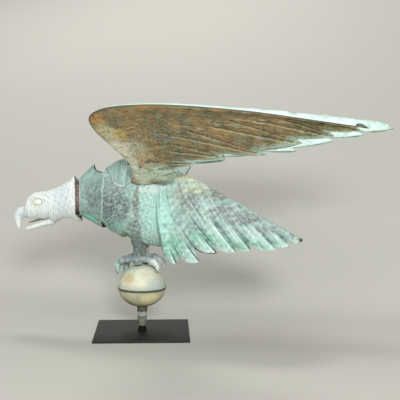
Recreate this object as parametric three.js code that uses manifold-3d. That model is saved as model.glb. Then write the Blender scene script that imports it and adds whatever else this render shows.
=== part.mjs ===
// A moulded copper eagle weather vane: a hollow eagle with a cast zinc head and raised wings stands on a
// two-piece ball, and its mounting tube turns on the rod of a square steel display base.
// Millimetres, +Z up. The origin is at the middle of the base's underside, on the spindle's axis.
// The eagle faces -X. Its left side is -Y and its right side is +Y.
import * as THREE from "three";
import { mergeVertices } from "three/addons/utils/BufferGeometryUtils.js";
import Module from "manifold-3d";

const wasm = await Module();
wasm.setup();

// ---- Driving dimensions -------------------------------------------------------------------------
const gap = 0.3; // clearance that touching pieces keep
const copper = 1.2; // sheet thickness of the body, wings and ball
const zinc = 4; // wall of the head casting

const plateSide = 235; // square base, about 9 1/4 inch
const plateThick = 4.8;
const plateTurn = THREE.MathUtils.degToRad(20); // the base's turn against the eagle, as the vane stands at rest
const rodRadius = 9.4; // 3/4 inch rod
const tubeRadius = 11.1; // 7/8 inch tube
const tubeBore = 10.1;
const tubeBottom = 17.7;
const tubeTop = 384;
const bearingRadius = 6;

const ballRadius = 60;
const ballCentre = 112.5; // height of the widest circle
const lowerDepth = 47; // the lower half is flatter than a hemisphere
const ballTop = ballCentre + ballRadius;
const seamOverlap = 3;

const neckFront = -166; // x of the neck opening at the back of the neck
const neckSweep = 20; // how much further back the neck opening is at the sides
const bodyFront = -146; // x of the front edge of the body shells, under the collar
const bodyEnd = 60; // x of the seam between the body shells and the tail shells
const legSpread = 24; // distance of each leg from the middle plane
const wingRootY = 49;
const wingRootZ = 384;
const liftLeft = THREE.MathUtils.degToRad(36);
const liftRight = THREE.MathUtils.degToRad(33);

const LEFT = -1;
const RIGHT = 1;
const sides = [
  ["left", LEFT],
  ["right", RIGHT],
];

// ---- Materials ----------------------------------------------------------------------------------
function finish(color, roughness, metalness) {
  return new THREE.MeshStandardMaterial({ color, roughness, metalness });
}
const materials = {
  blackSteel: finish(0x2b2b2a, 0.45, 0.6),
  brightSteel: finish(0x9a9c9d, 0.3, 1.0),
  zincCasting: finish(0xdfe3df, 0.75, 0.2),
  verdigris: finish(0x7fb5a6, 0.85, 0.15),
  brownCopper: finish(0x8a6a44, 0.6, 0.5),
  ballCream: finish(0xcfcdb6, 0.7, 0.2),
  ballOlive: finish(0xa8a583, 0.7, 0.2),
  darkPatina: finish(0x4a564f, 0.8, 0.3),
  bareCopper: finish(0xa8603f, 0.45, 0.8),
};

// ---- Geometry helpers ---------------------------------------------------------------------------
const vec = (x, y, z) => new THREE.Vector3(x, y, z);

// A closed geometry from points and triangles, with its faces turned outwards.
function closedGeometry(points, triangles) {
  const cross = vec(0, 0, 0);
  let volume = 0;
  for (const [a, b, c] of triangles) volume += points[a].dot(cross.crossVectors(points[b], points[c]));
  const geometry = new THREE.BufferGeometry().setFromPoints(points);
  geometry.setIndex(triangles.flatMap(([a, b, c]) => (volume > 0 ? [a, b, c] : [a, c, b])));
  geometry.computeVertexNormals();
  return geometry;
}

// The same geometry with its coincident vertices joined and nothing but positions left.
function merged(geometry) {
  const bare = geometry.clone();
  for (const name of ["normal", "uv"]) bare.deleteAttribute(name);
  return mergeVertices(bare, 1e-4);
}

// The triangles between neighbouring rings of equal length, stored one after another.
function ringWalls(count, length, closed) {
  const triangles = [];
  const spans = closed ? count : count - 1;
  for (let i = 0; i < spans; i++) {
    const here = i * length;
    const next = ((i + 1) % count) * length;
    for (let j = 0; j < length; j++) {
      const k = (j + 1) % length;
      triangles.push([here + j, here + k, next + k], [here + j, next + k, next + j]);
    }
  }
  return triangles;
}

// A solid through a row of closed rings, with a fan over each end.
function loft(rings) {
  const length = rings[0].length;
  const points = rings.flat();
  const triangles = ringWalls(rings.length, length, false);
  for (const [start, flip] of [
    [0, true],
    [(rings.length - 1) * length, false],
  ]) {
    const centre = vec(0, 0, 0);
    for (let j = 0; j < length; j++) centre.add(points[start + j]);
    points.push(centre.divideScalar(length));
    const hub = points.length - 1;
    for (let j = 0; j < length; j++) {
      const a = start + j;
      const b = start + ((j + 1) % length);
      triangles.push(flip ? [hub, b, a] : [hub, a, b]);
    }
  }
  return closedGeometry(points, triangles);
}

// A hoop-shaped solid through rings that come back to the first one.
function hoop(rings) {
  return closedGeometry(rings.flat(), ringWalls(rings.length, rings[0].length, true));
}

// A sheet between two grids of points of the same size, closed along its four edges.
function sheet(outer, inner) {
  const columns = outer[0].length;
  const rings = outer.map((row, i) => [...row, ...[...inner[i]].reverse()]);
  const length = 2 * columns;
  const triangles = ringWalls(rings.length, length, false);
  for (const [start, flip] of [
    [0, true],
    [(rings.length - 1) * length, false],
  ]) {
    for (let j = 0; j < columns - 1; j++) {
      const quad = [start + j, start + j + 1, start + length - 2 - j, start + length - 1 - j];
      if (flip) quad.reverse();
      triangles.push([quad[0], quad[1], quad[2]], [quad[0], quad[2], quad[3]]);
    }
  }
  return closedGeometry(rings.flat(), triangles);
}

// The grid moved inwards by a thickness. Rows run along +X and columns run from the ridge outwards and down.
function inwards(grid, thickness) {
  const rows = grid.length;
  const columns = grid[0].length;
  return grid.map((row, i) =>
    row.map((point, j) => {
      const along = grid[Math.min(i + 1, rows - 1)][j].clone().sub(grid[Math.max(i - 1, 0)][j]);
      const across = row[Math.min(j + 1, columns - 1)].clone().sub(row[Math.max(j - 1, 0)]);
      const normal = along.cross(across).normalize();
      const moved = point.clone().addScaledVector(normal, -thickness);
      moved.y = Math.max(moved.y, gap / 2);
      return moved;
    }),
  );
}

// A half shell modelled on the right side, placed on the side asked for.
function halfShell(grid, side) {
  const mirrored = (points) => points.map((row) => row.map((p) => vec(p.x, side * p.y, p.z)));
  return sheet(mirrored(grid), mirrored(inwards(grid, copper)));
}

// An ellipse of points round a centre: up and across are its two half axes.
function ring(centre, up, across, count) {
  return Array.from({ length: count }, (_, j) => {
    const angle = (2 * Math.PI * j) / count;
    return centre.clone().addScaledVector(up, Math.cos(angle)).addScaledVector(across, Math.sin(angle));
  });
}

// A tapering round bar along a path, with the radius given at each point of the path.
function taper(path, radii, steps, count) {
  const curve = new THREE.CatmullRomCurve3(path);
  const rings = [];
  for (let i = 0; i <= steps; i++) {
    const t = i / steps;
    const place = t * (radii.length - 1);
    const low = Math.min(Math.floor(place), radii.length - 2);
    const radius = THREE.MathUtils.lerp(radii[low], radii[low + 1], place - low);
    const along = curve.getTangent(t);
    const across = vec(0, 1, 0).cross(along).normalize();
    const up = along.clone().cross(across).normalize();
    rings.push(ring(curve.getPoint(t), up.multiplyScalar(radius), across.multiplyScalar(radius), count));
  }
  return loft(rings);
}

// A turned solid: the profile is a list of [radius, height], closed on itself or on the axis.
function turned(profile, segments = 40) {
  const points = profile.map(([radius, height]) => new THREE.Vector2(radius, height));
  const lathe = merged(new THREE.LatheGeometry(points, segments).rotateX(Math.PI / 2));
  const place = lathe.attributes.position;
  const corners = Array.from({ length: place.count }, (_, i) => vec(0, 0, 0).fromBufferAttribute(place, i));
  const triangles = [];
  for (let i = 0; i < lathe.index.count; i += 3) {
    const triangle = [0, 1, 2].map((k) => lathe.index.getX(i + k));
    if (new Set(triangle).size === 3) triangles.push(triangle);
  }
  return closedGeometry(corners, triangles);
}

// A turned sleeve between two radii and two heights.
function sleeve(inner, outer, bottom, top, segments) {
  const profile = [
    [inner, bottom],
    [outer, bottom],
    [outer, top],
    [inner, top],
    [inner, bottom],
  ];
  return turned(profile, segments);
}

// A flat plate: an outline drawn in X and Y, from one height to another.
function plate(outline, bottom, top, hole) {
  const shape = new THREE.Shape(outline.map(([x, y]) => new THREE.Vector2(x, y)));
  if (hole) shape.holes.push(new THREE.Path().absarc(0, 0, hole, 0, 2 * Math.PI, true));
  const geometry = new THREE.ExtrudeGeometry(shape, { depth: top - bottom, bevelEnabled: false, curveSegments: 20 });
  return geometry.translate(0, 0, bottom);
}

function box(x0, x1, y0, y1, z0, z1) {
  const geometry = new THREE.BoxGeometry(x1 - x0, y1 - y0, z1 - z0);
  return geometry.translate((x0 + x1) / 2, (y0 + y1) / 2, (z0 + z1) / 2);
}

// ---- Cuts and joins -----------------------------------------------------------------------------
function toSolid(geometry) {
  const { attributes, index } = merged(geometry);
  return new wasm.Manifold(
    new wasm.Mesh({
      numProp: 3,
      vertProperties: new Float32Array(attributes.position.array),
      triVerts: new Uint32Array(index.array),
    }),
  );
}

function fromSolid(solid) {
  const mesh = solid.getMesh();
  const geometry = new THREE.BufferGeometry();
  geometry.setAttribute("position", new THREE.BufferAttribute(new Float32Array(mesh.vertProperties), 3));
  geometry.setIndex(new THREE.BufferAttribute(new Uint32Array(mesh.triVerts), 1));
  geometry.computeVertexNormals();
  return geometry;
}

function cut(geometry, ...tools) {
  return fromSolid(tools.reduce((solid, tool) => solid.subtract(toSolid(tool)), toSolid(geometry)));
}

function join(...pieces) {
  return fromSolid(pieces.map(toSolid).reduce((solid, piece) => solid.add(piece)));
}

function named(name, geometry, material) {
  const mesh = new THREE.Mesh(geometry, material);
  mesh.name = name;
  return mesh;
}

// ---- The stand ----------------------------------------------------------------------------------
function basePlate() {
  const mesh = named("base_plate", new THREE.BoxGeometry(plateSide, plateSide, plateThick), materials.blackSteel);
  mesh.position.z = plateThick / 2;
  mesh.rotation.z = plateTurn;
  return mesh;
}

const capInside = tubeTop - 3; // underside of the tube's cap
const rodTop = capInside - 2 * bearingRadius + 1;

function spindleRod() {
  const profile = [
    [0, plateThick + gap],
    [rodRadius, plateThick + gap],
    [rodRadius, rodTop - 8],
    [rodRadius - 2, rodTop - 3],
    [0, rodTop - 3],
  ];
  return named("spindle_rod", turned(profile, 32), materials.blackSteel);
}

function thrustBall() {
  const mesh = named("thrust_ball", new THREE.SphereGeometry(bearingRadius, 16, 12), materials.brightSteel);
  mesh.position.z = rodTop - 3 + gap + bearingRadius;
  return mesh;
}

// ---- The tube and the ball ----------------------------------------------------------------------
const orbNeckTop = ballCentre - lowerDepth;
const bandTop = 53.7;
const ringTop = 42;
const ringBottom = 40.5;

function mountingTube() {
  return named("mounting_tube", sleeve(tubeBore, tubeRadius, tubeBottom, tubeTop - 6, 32), materials.darkPatina);
}

// The plug that closes the tube's top and rides on the thrust ball.
function tubeCap() {
  const profile = [
    [0, capInside + 1],
    [tubeRadius, capInside + 1],
    [tubeRadius, capInside + 4],
    [0, capInside + 4],
  ];
  return named("tube_cap", turned(profile, 32), materials.bareCopper);
}

function tubeTrim() {
  const bore = tubeRadius + gap;
  return [
    named("tube_ring", sleeve(bore, bore + 0.9, ringBottom, ringTop - gap, 32), materials.darkPatina),
    named("tube_band", sleeve(bore, bore + 0.6, ringTop, bandTop - gap, 32), materials.ballCream),
    named("orb_neck", sleeve(bore, bore + 1.6, bandTop, orbNeckTop - gap, 32), materials.darkPatina),
  ];
}

// One half of the ball: an elliptical arc from the widest circle to the hole, closed at sheet thickness.
function ballHalf(radius, depth, direction) {
  const steps = 7;
  const hole = tubeRadius + gap;
  const arc = (r, d) => {
    const end = Math.acos(hole / r);
    return Array.from({ length: steps + 1 }, (_, i) => {
      const angle = (end * i) / steps;
      return [r * Math.cos(angle), ballCentre + direction * d * Math.sin(angle)];
    });
  };
  const outer = arc(radius, depth);
  const inner = arc(radius - copper, depth - copper).reverse();
  return turned([...outer, ...inner, outer[0]], 32);
}

function ballPieces() {
  const lowerRadius = ballRadius - copper - gap;
  const lower = cut(
    ballHalf(lowerRadius, lowerDepth, -1),
    sleeve(0.01, tubeRadius + gap, 0, ballCentre, 32),
  );
  const lip = sleeve(lowerRadius - copper, lowerRadius, ballCentre - 0.5, ballCentre + seamOverlap, 32);
  return [
    named("orb_upper", ballHalf(ballRadius, ballRadius, 1), materials.ballCream),
    named("orb_lower", join(lower, lip), materials.ballOlive),
  ];
}

function footPlate() {
  return named("foot_plate", sleeve(tubeRadius + gap, 16, ballTop + gap, ballTop + 3, 32), materials.darkPatina);
}

// ---- The body -----------------------------------------------------------------------------------
// Stations along the body: x, height of the back, height of the belly, half width.
const stations = [
  [neckFront, 382, 293, 39],
  [-130, 392, 278, 47],
  [-95, 403, 264, 54],
  [-50, 417, 244, 58],
  [0, 423, 226, 59],
  [bodyEnd, 414, 218, 56],
];
const bodyCurve = (column) =>
  new THREE.SplineCurve(stations.map((station) => new THREE.Vector2(station[0], station[column])));
const backLine = bodyCurve(1);
const bellyLine = bodyCurve(2);
const widthLine = bodyCurve(3);

// Height or width of a station curve at x, found by halving.
function valueAt(curve, x) {
  let low = 0;
  let high = 1;
  for (let i = 0; i < 30; i++) {
    const middle = (low + high) / 2;
    if (curve.getPoint(middle).x < x) low = middle;
    else high = middle;
  }
  return curve.getPoint(low).y;
}

// A point on the body: angle 0 is the back, a half turn is the belly. Proud lifts it off the surface.
function bodyPoint(x, angle, proud = 0) {
  const back = valueAt(backLine, x);
  const belly = valueAt(bellyLine, x);
  const half = valueAt(widthLine, x) + proud;
  const middle = (back + belly) / 2;
  const height = (back - belly) / 2 + proud;
  return vec(x, half * Math.sin(angle), middle + height * Math.cos(angle));
}

function bodyGrid() {
  const rows = 13;
  const columns = 13;
  const grid = [];
  for (let i = 0; i < rows; i++) {
    const x = THREE.MathUtils.lerp(bodyFront, bodyEnd - 3 * gap, i / (rows - 1));
    grid.push(
      Array.from({ length: columns }, (_, j) => {
        const point = bodyPoint(x, (Math.PI * j) / (columns - 1));
        point.y = Math.max(point.y, gap / 2);
        return point;
      }),
    );
  }
  return grid;
}

// The space that the body fills, a little proud of its surface, for trimming the pieces that meet it.
function bodyEnvelope() {
  const rings = [];
  for (let i = 0; i <= 12; i++) {
    const x = THREE.MathUtils.lerp(neckFront, bodyEnd, i / 12);
    rings.push(Array.from({ length: 36 }, (_, j) => bodyPoint(x, (Math.PI * j) / 18, 2 * gap)));
  }
  return loft(rings);
}

// The collar's back edge: degrees from the back of the neck round to the breast, and x. It has a short
// feather on the back, a long one on each side and a pointed one under the throat.
const collarEdge = [
  [0, -129],
  [14, -108],
  [34, -84],
  [60, -80],
  [105, -80],
  [122, -98],
  [138, -122],
  [158, -112],
  [180, -104],
];

// The value at a place in a table of [place, value] rows, on straight lines between the rows.
function onTable(table, place) {
  const i = Math.max(0, Math.min(table.findIndex((row) => row[0] >= place) - 1, table.length - 2));
  const [from, to] = [table[i], table[i + 1]];
  return THREE.MathUtils.mapLinear(place, from[0], to[0], from[1], to[1]);
}

// The collar of stamped feathers round the neck: a hoop that stands a little proud of the body.
function neckCollar() {
  const count = 36;
  const crestRise = 20;
  const band = (share, rise) =>
    Array.from({ length: count }, (_, j) => {
      const angle = (2 * Math.PI * j) / count;
      const frontX = neckFront - 3 + neckSweep * Math.abs(Math.sin(angle));
      const degrees = THREE.MathUtils.radToDeg(Math.min(angle, 2 * Math.PI - angle));
      const x = THREE.MathUtils.lerp(frontX, onTable(collarEdge, degrees), share);
      const placed = bodyPoint(Math.max(x, neckFront), angle, rise);
      const crest = j === 0 && share === 1 ? crestRise : 0;
      return vec(x, placed.y, placed.z + crest);
    });
  const outer = 2 * copper;
  const shares = [0, 0.5, 1];
  return hoop([
    ...shares.map((share) => band(share, outer)),
    ...shares.reverse().map((share) => band(share, outer - copper)),
  ]);
}

// The plain sleeve that joins the head casting to the neck.
function neckSleeve() {
  const front = vec(-204, 0, 328);
  const back = vec(-132, 0, 339);
  const band = (centre, shrink) => ring(centre, vec(0, 0, 36 - shrink), vec(0, 30 - shrink, 0), 32);
  return hoop([band(front, 0), band(back, 0), band(back, copper), band(front, copper)]);
}

// ---- The tail and flank feathers ----------------------------------------------------------------
const ridge = new THREE.SplineCurve(
  [
    [bodyEnd, 414],
    [110, 402],
    [182, 368],
    [284, 315],
    [403, 252],
  ].map(([x, z]) => new THREE.Vector2(x, z)),
);

// Feather tips and the notches between them, from the flank to the tail's end:
// [x, y, z, x on the ridge where the line of the feather starts, how far the section has opened out]
const tailEdge = [
  [bodyEnd, 2, 218, bodyEnd, 0],
  [88, 56, 204, 66, 0.5],
  [112, 62, 188, 72, 0.75],
  [119, 60, 209, 82, 0.8],
  [148, 67, 204, 96, 0.9],
  [174, 72, 197, 104, 1],
  [158, 69, 238, 118, 1],
  [190, 76, 231, 136, 1],
  [218, 82, 224, 146, 1],
  [212, 79, 241, 160, 1],
  [268, 88, 228, 190, 1],
  [262, 85, 242, 204, 1],
  [304, 90, 234, 232, 1],
  [300, 87, 245, 246, 1],
  [362, 80, 236, 300, 1],
  [354, 76, 246, 314, 1],
  [384, 54, 241, 350, 1],
  [380, 44, 250, 362, 1],
  [403, 8, 249, 401, 1],
];

function tailGrid() {
  const columns = 9;
  return tailEdge.map(([x, y, z, ridgeX, open]) => {
    const top = vec(ridgeX + gap, 0, valueAt(ridge, ridgeX));
    const bulge = 58 * (1 - open) + 12 * open;
    return Array.from({ length: columns }, (_, j) => {
      const t = j / (columns - 1);
      const fall = (1 - Math.cos(Math.PI * t)) / 2;
      const down = THREE.MathUtils.lerp(fall, t, open);
      const out = bulge * Math.sin(Math.PI * t) + y * t ** 0.8;
      return vec(
        THREE.MathUtils.lerp(top.x, x + gap, down),
        Math.max(out, gap / 2),
        THREE.MathUtils.lerp(top.z, z, down),
      );
    });
  });
}

// ---- Legs and feet ------------------------------------------------------------------------------
const ankle = 203; // height where each leg meets its foot

function leg(side, envelope) {
  const y = side * legSpread;
  const rings = [
    [ankle + gap, -2, 11],
    [218, -1, 12],
    [232, -3, 15],
    [262, -4, 17],
  ].map(([z, x, radius]) => ring(vec(x, y, z), vec(radius, 0, 0), vec(0, radius * 0.75, 0), 20));
  return cut(loft(rings), envelope);
}

// The toes, as [x, out, z] from the foot's own middle plane, each with the radius at each point: three
// forward and one back.
const toes = [
  {
    path: [[-4, 0, 188], [-34, -1, 187], [-56, -1, 180], [-60, -1, 164], [-57, -1, 148]],
    radii: [9, 8, 7, 5, 0.8],
  },
  {
    path: [[-2, 3, 188], [-26, 9, 187], [-47, 11, 180], [-52, 12, 166], [-49, 12, 150]],
    radii: [8, 7, 6.5, 4.5, 0.8],
  },
  {
    path: [[-2, -3, 188], [-26, -9, 187], [-46, -12, 180], [-51, -12, 166], [-48, -12, 151]],
    radii: [8, 7, 6.5, 4.5, 0.8],
  },
  {
    path: [[4, 0, 188], [26, -1, 189], [42, -1, 182], [50, -1, 171], [48, -1, 157]],
    radii: [9, 8, 8, 6, 0.8],
  },
];

function foot(side) {
  const y = side * legSpread;
  const bar = ({ path, radii }) =>
    taper(path.map(([x, out, z]) => vec(x, y + side * out, z)), radii, 10, 10);
  const knob = ring(vec(-2, y, 0), vec(11, 0, 0), vec(0, 9, 0), 20);
  const shank = loft([180, ankle].map((z) => knob.map((p) => vec(p.x, p.y, z))));
  const tubeSpace = sleeve(0.01, tubeRadius + gap, 160, 260, 32);
  const plateSpace = sleeve(0.01, 16 + gap, ballTop, ballTop + 3 + gap, 32);
  const ballSpace = new THREE.SphereGeometry(ballRadius + gap, 40, 24);
  ballSpace.rotateX(Math.PI / 2);
  ballSpace.translate(0, 0, ballCentre);
  return cut(join(shank, ...toes.map(bar)), tubeSpace, plateSpace, ballSpace);
}

// ---- The head -----------------------------------------------------------------------------------
// Rings from the beak's tip to the collar: x, z, lean of the ring in degrees, half height, half width, and
// how much further back the ring is at its sides.
const headRings = [
  [-344, 249, 95, 1.5, 1.2, 0],
  [-346, 262, 86, 6, 4.5, 0],
  [-346.5, 278, 68, 11.5, 9, 0],
  [-338, 290, 38, 14, 12, 0],
  [-324, 293, 12, 15.5, 15, 0],
  [-316, 296.5, 8, 20, 19, 0],
  [-311, 304, 4, 28, 23, 0],
  [-296, 310.5, 0, 33.5, 27, 0],
  [-262, 314, 0, 36, 32, 0],
  [-230, 320, 0, 40, 35, 0],
  [-207, 327, 0, 45, 37, 6],
  [-184, 333, 0, 47, 40, neckSweep],
];
const throatRing = 8; // the ring where the casting's hollow ends

function headRing([x, z, lean, height, width, sweep], wall) {
  const count = 24;
  const angle = THREE.MathUtils.degToRad(lean);
  const up = vec(-Math.sin(angle), 0, Math.cos(angle)).multiplyScalar(height - wall);
  const points = ring(vec(x, 0, z), up, vec(0, width - wall, 0), count);
  points.forEach((point, j) => (point.x += sweep * Math.abs(Math.sin((2 * Math.PI * j) / count))));
  return points;
}

function headCasting() {
  const outer = headRings.map((row) => headRing(row, 0));
  const inner = headRings.slice(throatRing).map((row) => headRing(row, zinc));
  const rim = outer[outer.length - 1];
  rim[0] = vec(-185, 0, 392); // crest point above the collar
  rim[rim.length / 2] = vec(-163, 0, 273); // ruff point below it
  return loft([...outer, ...inner.reverse()]);
}

// The space that the head fills, for trimming the pieces that are fixed to its underside.
function headEnvelope() {
  return loft(headRings.map((row) => headRing(row, -gap)));
}

function lowerBeak(envelope) {
  const rows = [
    [-236, 276, 9, 13],
    [-246, 272, 10.5, 17],
    [-266, 266.5, 9, 15],
    [-292, 259, 7.5, 10.5],
    [-312, 252.5, 6.5, 7.5],
    [-321, 250, 4.5, 5],
  ].map(([x, z, height, width]) => ring(vec(x, 0, z), vec(0, 0, height), vec(0, width, 0), 20));
  return cut(loft(rows), envelope);
}

function tongue(envelope, beak) {
  const path = [vec(-262, 0, 280), vec(-280, 0, 276), vec(-298, 0, 271), vec(-315, 0, 266)];
  const room = beak.clone().translate(0, 0, gap);
  return cut(taper(path, [3, 2.6, 2.4, 1], 6, 12), envelope, room);
}

// ---- The wings ----------------------------------------------------------------------------------
// The wing is drawn flat, as [x, distance out from the root]. Its group lifts it.
const leadingEdge = new THREE.SplineCurve(
  [
    [-8, 0],
    [8, 38],
    [14, 90],
    [-6, 160],
    [-23, 215],
    [-21, 262],
    [16, 294],
    [80, 309],
    [190, 310],
    [350, 288],
    [480, 257],
    [572, 234],
  ].map(([x, out]) => new THREE.Vector2(x, out)),
);

// Feather tips on the trailing edge: [x, distance out, share of the leading edge where its line starts].
const featherTips = [
  [132, 54, 0.06],
  [180, 86, 0.15],
  [263, 115, 0.26],
  [356, 127, 0.37],
  [443, 174, 0.53],
  [516, 201, 0.72],
  [588, 228, 0.99],
];
const shortTip = [97, 56, 0.06]; // the right wing's first feather, which is shorter than the left wing's
const notchBack = [-14, 16]; // from each tip back to the notch behind it
const notchShare = 0.02;

function trailingEdge(side) {
  const corners = [[92, 2, 0]];
  const tips = side === RIGHT ? [shortTip, ...featherTips.slice(1)] : featherTips;
  tips.forEach(([x, out, share], i) => {
    corners.push([x, out, share]);
    if (i < tips.length - 1) corners.push([x + notchBack[0], out + notchBack[1], share + notchShare]);
  });
  const spread = 3;
  const edge = [];
  for (let i = 0; i < corners.length - 1; i++) {
    const steps = i % 2 === 0 ? spread : 1;
    for (let k = 0; k < steps; k++)
      edge.push(corners[i].map((value, n) => THREE.MathUtils.lerp(value, corners[i + 1][n], k / steps)));
  }
  edge.push(corners[corners.length - 1]);
  return edge;
}

const edgeHalf = copper + gap / 2; // half thickness of the closed rim
const wingRise = 6; // how much thicker the wing is in the middle of its chord
const wingArch = 12; // how far the middle of the chord arches up towards the tip

function wingHeight(chord, out) {
  return wingArch * Math.sin(Math.PI * chord) * Math.min(1, Math.max(0, out - 60) / 200);
}

function wingGrid(side, face, depth) {
  const chords = [0, 0.06, 0.2, 0.4, 0.6, 0.8, 1];
  return trailingEdge(side).map(([x, out, share]) => {
    const front = leadingEdge.getPointAt(share);
    return chords.map((chord) => {
      const px = THREE.MathUtils.lerp(front.x, x, chord);
      const py = THREE.MathUtils.lerp(front.y, out, chord);
      const half = edgeHalf + wingRise * Math.sin(Math.PI * Math.sqrt(chord)) ** 0.8;
      return vec(px, side * py, wingHeight(chord, py) + face * (half - depth));
    });
  });
}

const sparX = 40;
const sparWidth = 26;
const sparThick = 5;
const sparIn = -28;
const sparOut = 86;
const pinRadius = 2;
const socketOut = -13;
const pinAt = -20;

function bar(x, halfX, side, from, to, halfZ) {
  const ends = [side * from, side * to].sort((a, b) => a - b);
  return box(x - halfX, x + halfX, ends[0], ends[1], -halfZ, halfZ);
}

function pinBar(side, radius, half) {
  const geometry = new THREE.CylinderGeometry(radius, radius, 2 * half, 16).rotateX(Math.PI / 2);
  return geometry.translate(sparX, side * pinAt, 0);
}

// The wing's pieces in the wing's own frame: x along the body, y out along the wing, z off its upper face.
function wing(name, side, lift) {
  const group = new THREE.Group();
  const skin = (face) => sheet(wingGrid(side, face, 0), wingGrid(side, face, copper));
  const sparHalf = sparThick / 2;
  const socketHalf = sparHalf + gap + 2;
  const spar = cut(bar(sparX, sparWidth / 2, side, sparIn, sparOut, sparHalf), pinBar(side, pinRadius + gap, 9));
  const socket = cut(
    bar(sparX, sparWidth / 2 + gap + 2, side, sparIn, socketOut, socketHalf),
    bar(sparX, sparWidth / 2 + gap, side, sparIn - 1, 0, sparHalf + gap),
    pinBar(side, pinRadius + gap, 9),
  );
  group.add(
    named("wing_upper_" + name, skin(1), materials.verdigris),
    named("wing_lower_" + name, skin(-1), materials.brownCopper),
    named("wing_spar_" + name, spar, materials.bareCopper),
    named("wing_socket_" + name, socket, materials.bareCopper),
    named("wing_pin_" + name, pinBar(side, pinRadius, socketHalf), materials.bareCopper),
  );
  group.position.set(0, side * wingRootY, wingRootZ);
  group.rotation.x = side * lift;
  return group;
}

// The slot in the body shell that a wing spar passes through.
function sparSlot(side, lift) {
  const tool = bar(sparX, sparWidth / 2 + 1, side, sparIn, 20, sparThick / 2 + 1);
  tool.rotateX(side * lift);
  return tool.translate(0, side * wingRootY, wingRootZ);
}

// The stamped cap over the front of the wing root: pairs of points on its upper edge, which flares out along
// the front of the wing, and on its lower edge, which lies on the body.
const shoulderCapEdges = [
  [[-94, 10, 409], [-90, 14, 407]],
  [[-79, 22, 418], [-74, 30, 401]],
  [[-61, 35, 426], [-64, 42, 390]],
  [[-36, 55, 435], [-46, 52, 376]],
  [[-15, 71, 439], [-34, 56, 371]],
  [[-7, 75, 430], [-22, 58, 372]],
];

function shoulderCap(side) {
  const columns = 5;
  const grid = shoulderCapEdges.map(([upper, lower]) =>
    Array.from({ length: columns }, (_, j) => vec(...upper).lerp(vec(...lower), j / (columns - 1))),
  );
  return halfShell(grid, side);
}

// ---- Frames inside the body ---------------------------------------------------------------------
function saddle(name, bottom, halfX, halfY) {
  const outline = Array.from({ length: 28 }, (_, i) => {
    const angle = (2 * Math.PI * i) / 28;
    return [halfX * Math.cos(angle), halfY * Math.sin(angle)];
  });
  return named(name, plate(outline, bottom, bottom + 2, tubeRadius + gap), materials.bareCopper);
}

// ---- Assembly -----------------------------------------------------------------------------------
const vane = new THREE.Group();
const stand = new THREE.Group();
stand.add(basePlate(), spindleRod(), thrustBall());
vane.add(mountingTube(), tubeCap(), ...tubeTrim(), ...ballPieces(), footPlate());

const envelope = bodyEnvelope();
const tubeSpace = sleeve(0.01, tubeRadius + gap, 200, 300, 32);
for (const [name, side] of sides) {
  const lift = side === LEFT ? liftLeft : liftRight;
  const body = cut(halfShell(bodyGrid(), side), sparSlot(side, lift), tubeSpace);
  vane.add(
    named("body_" + name, body, materials.verdigris),
    named("tail_" + name, halfShell(tailGrid(), side), materials.verdigris),
    named("leg_" + name, leg(side, envelope), materials.darkPatina),
    named("foot_" + name, foot(side), materials.darkPatina),
    named("shoulder_cap_" + name, shoulderCap(side), materials.verdigris),
    wing(name, side, lift),
  );
}
const headSpace = headEnvelope();
const beak = lowerBeak(headSpace);
vane.add(
  named("neck_collar", neckCollar(), materials.verdigris),
  named("neck_sleeve", neckSleeve(), materials.bareCopper),
  named("head_casting", headCasting(), materials.zincCasting),
  named("lower_beak", beak, materials.zincCasting),
  named("tongue", tongue(headSpace, beak), materials.zincCasting),
  saddle("saddle_lower", 242, 30, 25),
  saddle("saddle_upper", 350, 40, 46),
);

const weatherVane = new THREE.Group();
weatherVane.add(stand, vane);
export default weatherVane;
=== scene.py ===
"""A moulded copper eagle weather vane with a cast zinc head, on a ball and a steel display base.

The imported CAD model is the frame. Each visible piece is rebuilt here close to the CAD surfaces, with embossed
feathers, dents and seams. The body halves are whole skins: the CAD's hole for the tube and its slots for the
wing spars are not cut here.

Shape tables are in millimetres, in the frame's axes: the eagle faces -X, its left side is -Y, and +Z is up.
Blender objects are in metres.
"""

import math

import bmesh
import bpy
import numpy as np
from mathutils import Matrix, Vector


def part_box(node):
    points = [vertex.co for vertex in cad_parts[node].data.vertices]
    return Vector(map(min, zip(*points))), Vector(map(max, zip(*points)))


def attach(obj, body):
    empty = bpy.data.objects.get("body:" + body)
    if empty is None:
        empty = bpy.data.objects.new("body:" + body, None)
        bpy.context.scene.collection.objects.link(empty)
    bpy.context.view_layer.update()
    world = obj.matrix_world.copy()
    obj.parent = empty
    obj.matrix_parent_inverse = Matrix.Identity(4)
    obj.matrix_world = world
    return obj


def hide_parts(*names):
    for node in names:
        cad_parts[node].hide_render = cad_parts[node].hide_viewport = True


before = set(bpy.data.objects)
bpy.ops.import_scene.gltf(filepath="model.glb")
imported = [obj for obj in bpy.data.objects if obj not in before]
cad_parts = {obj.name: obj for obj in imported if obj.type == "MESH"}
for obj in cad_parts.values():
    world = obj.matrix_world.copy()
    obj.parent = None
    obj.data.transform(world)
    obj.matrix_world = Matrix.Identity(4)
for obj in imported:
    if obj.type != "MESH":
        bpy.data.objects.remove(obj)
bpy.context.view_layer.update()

MM = 0.001
LEFT = -1
RIGHT = 1
SIDES = (("left", LEFT), ("right", RIGHT))

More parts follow.
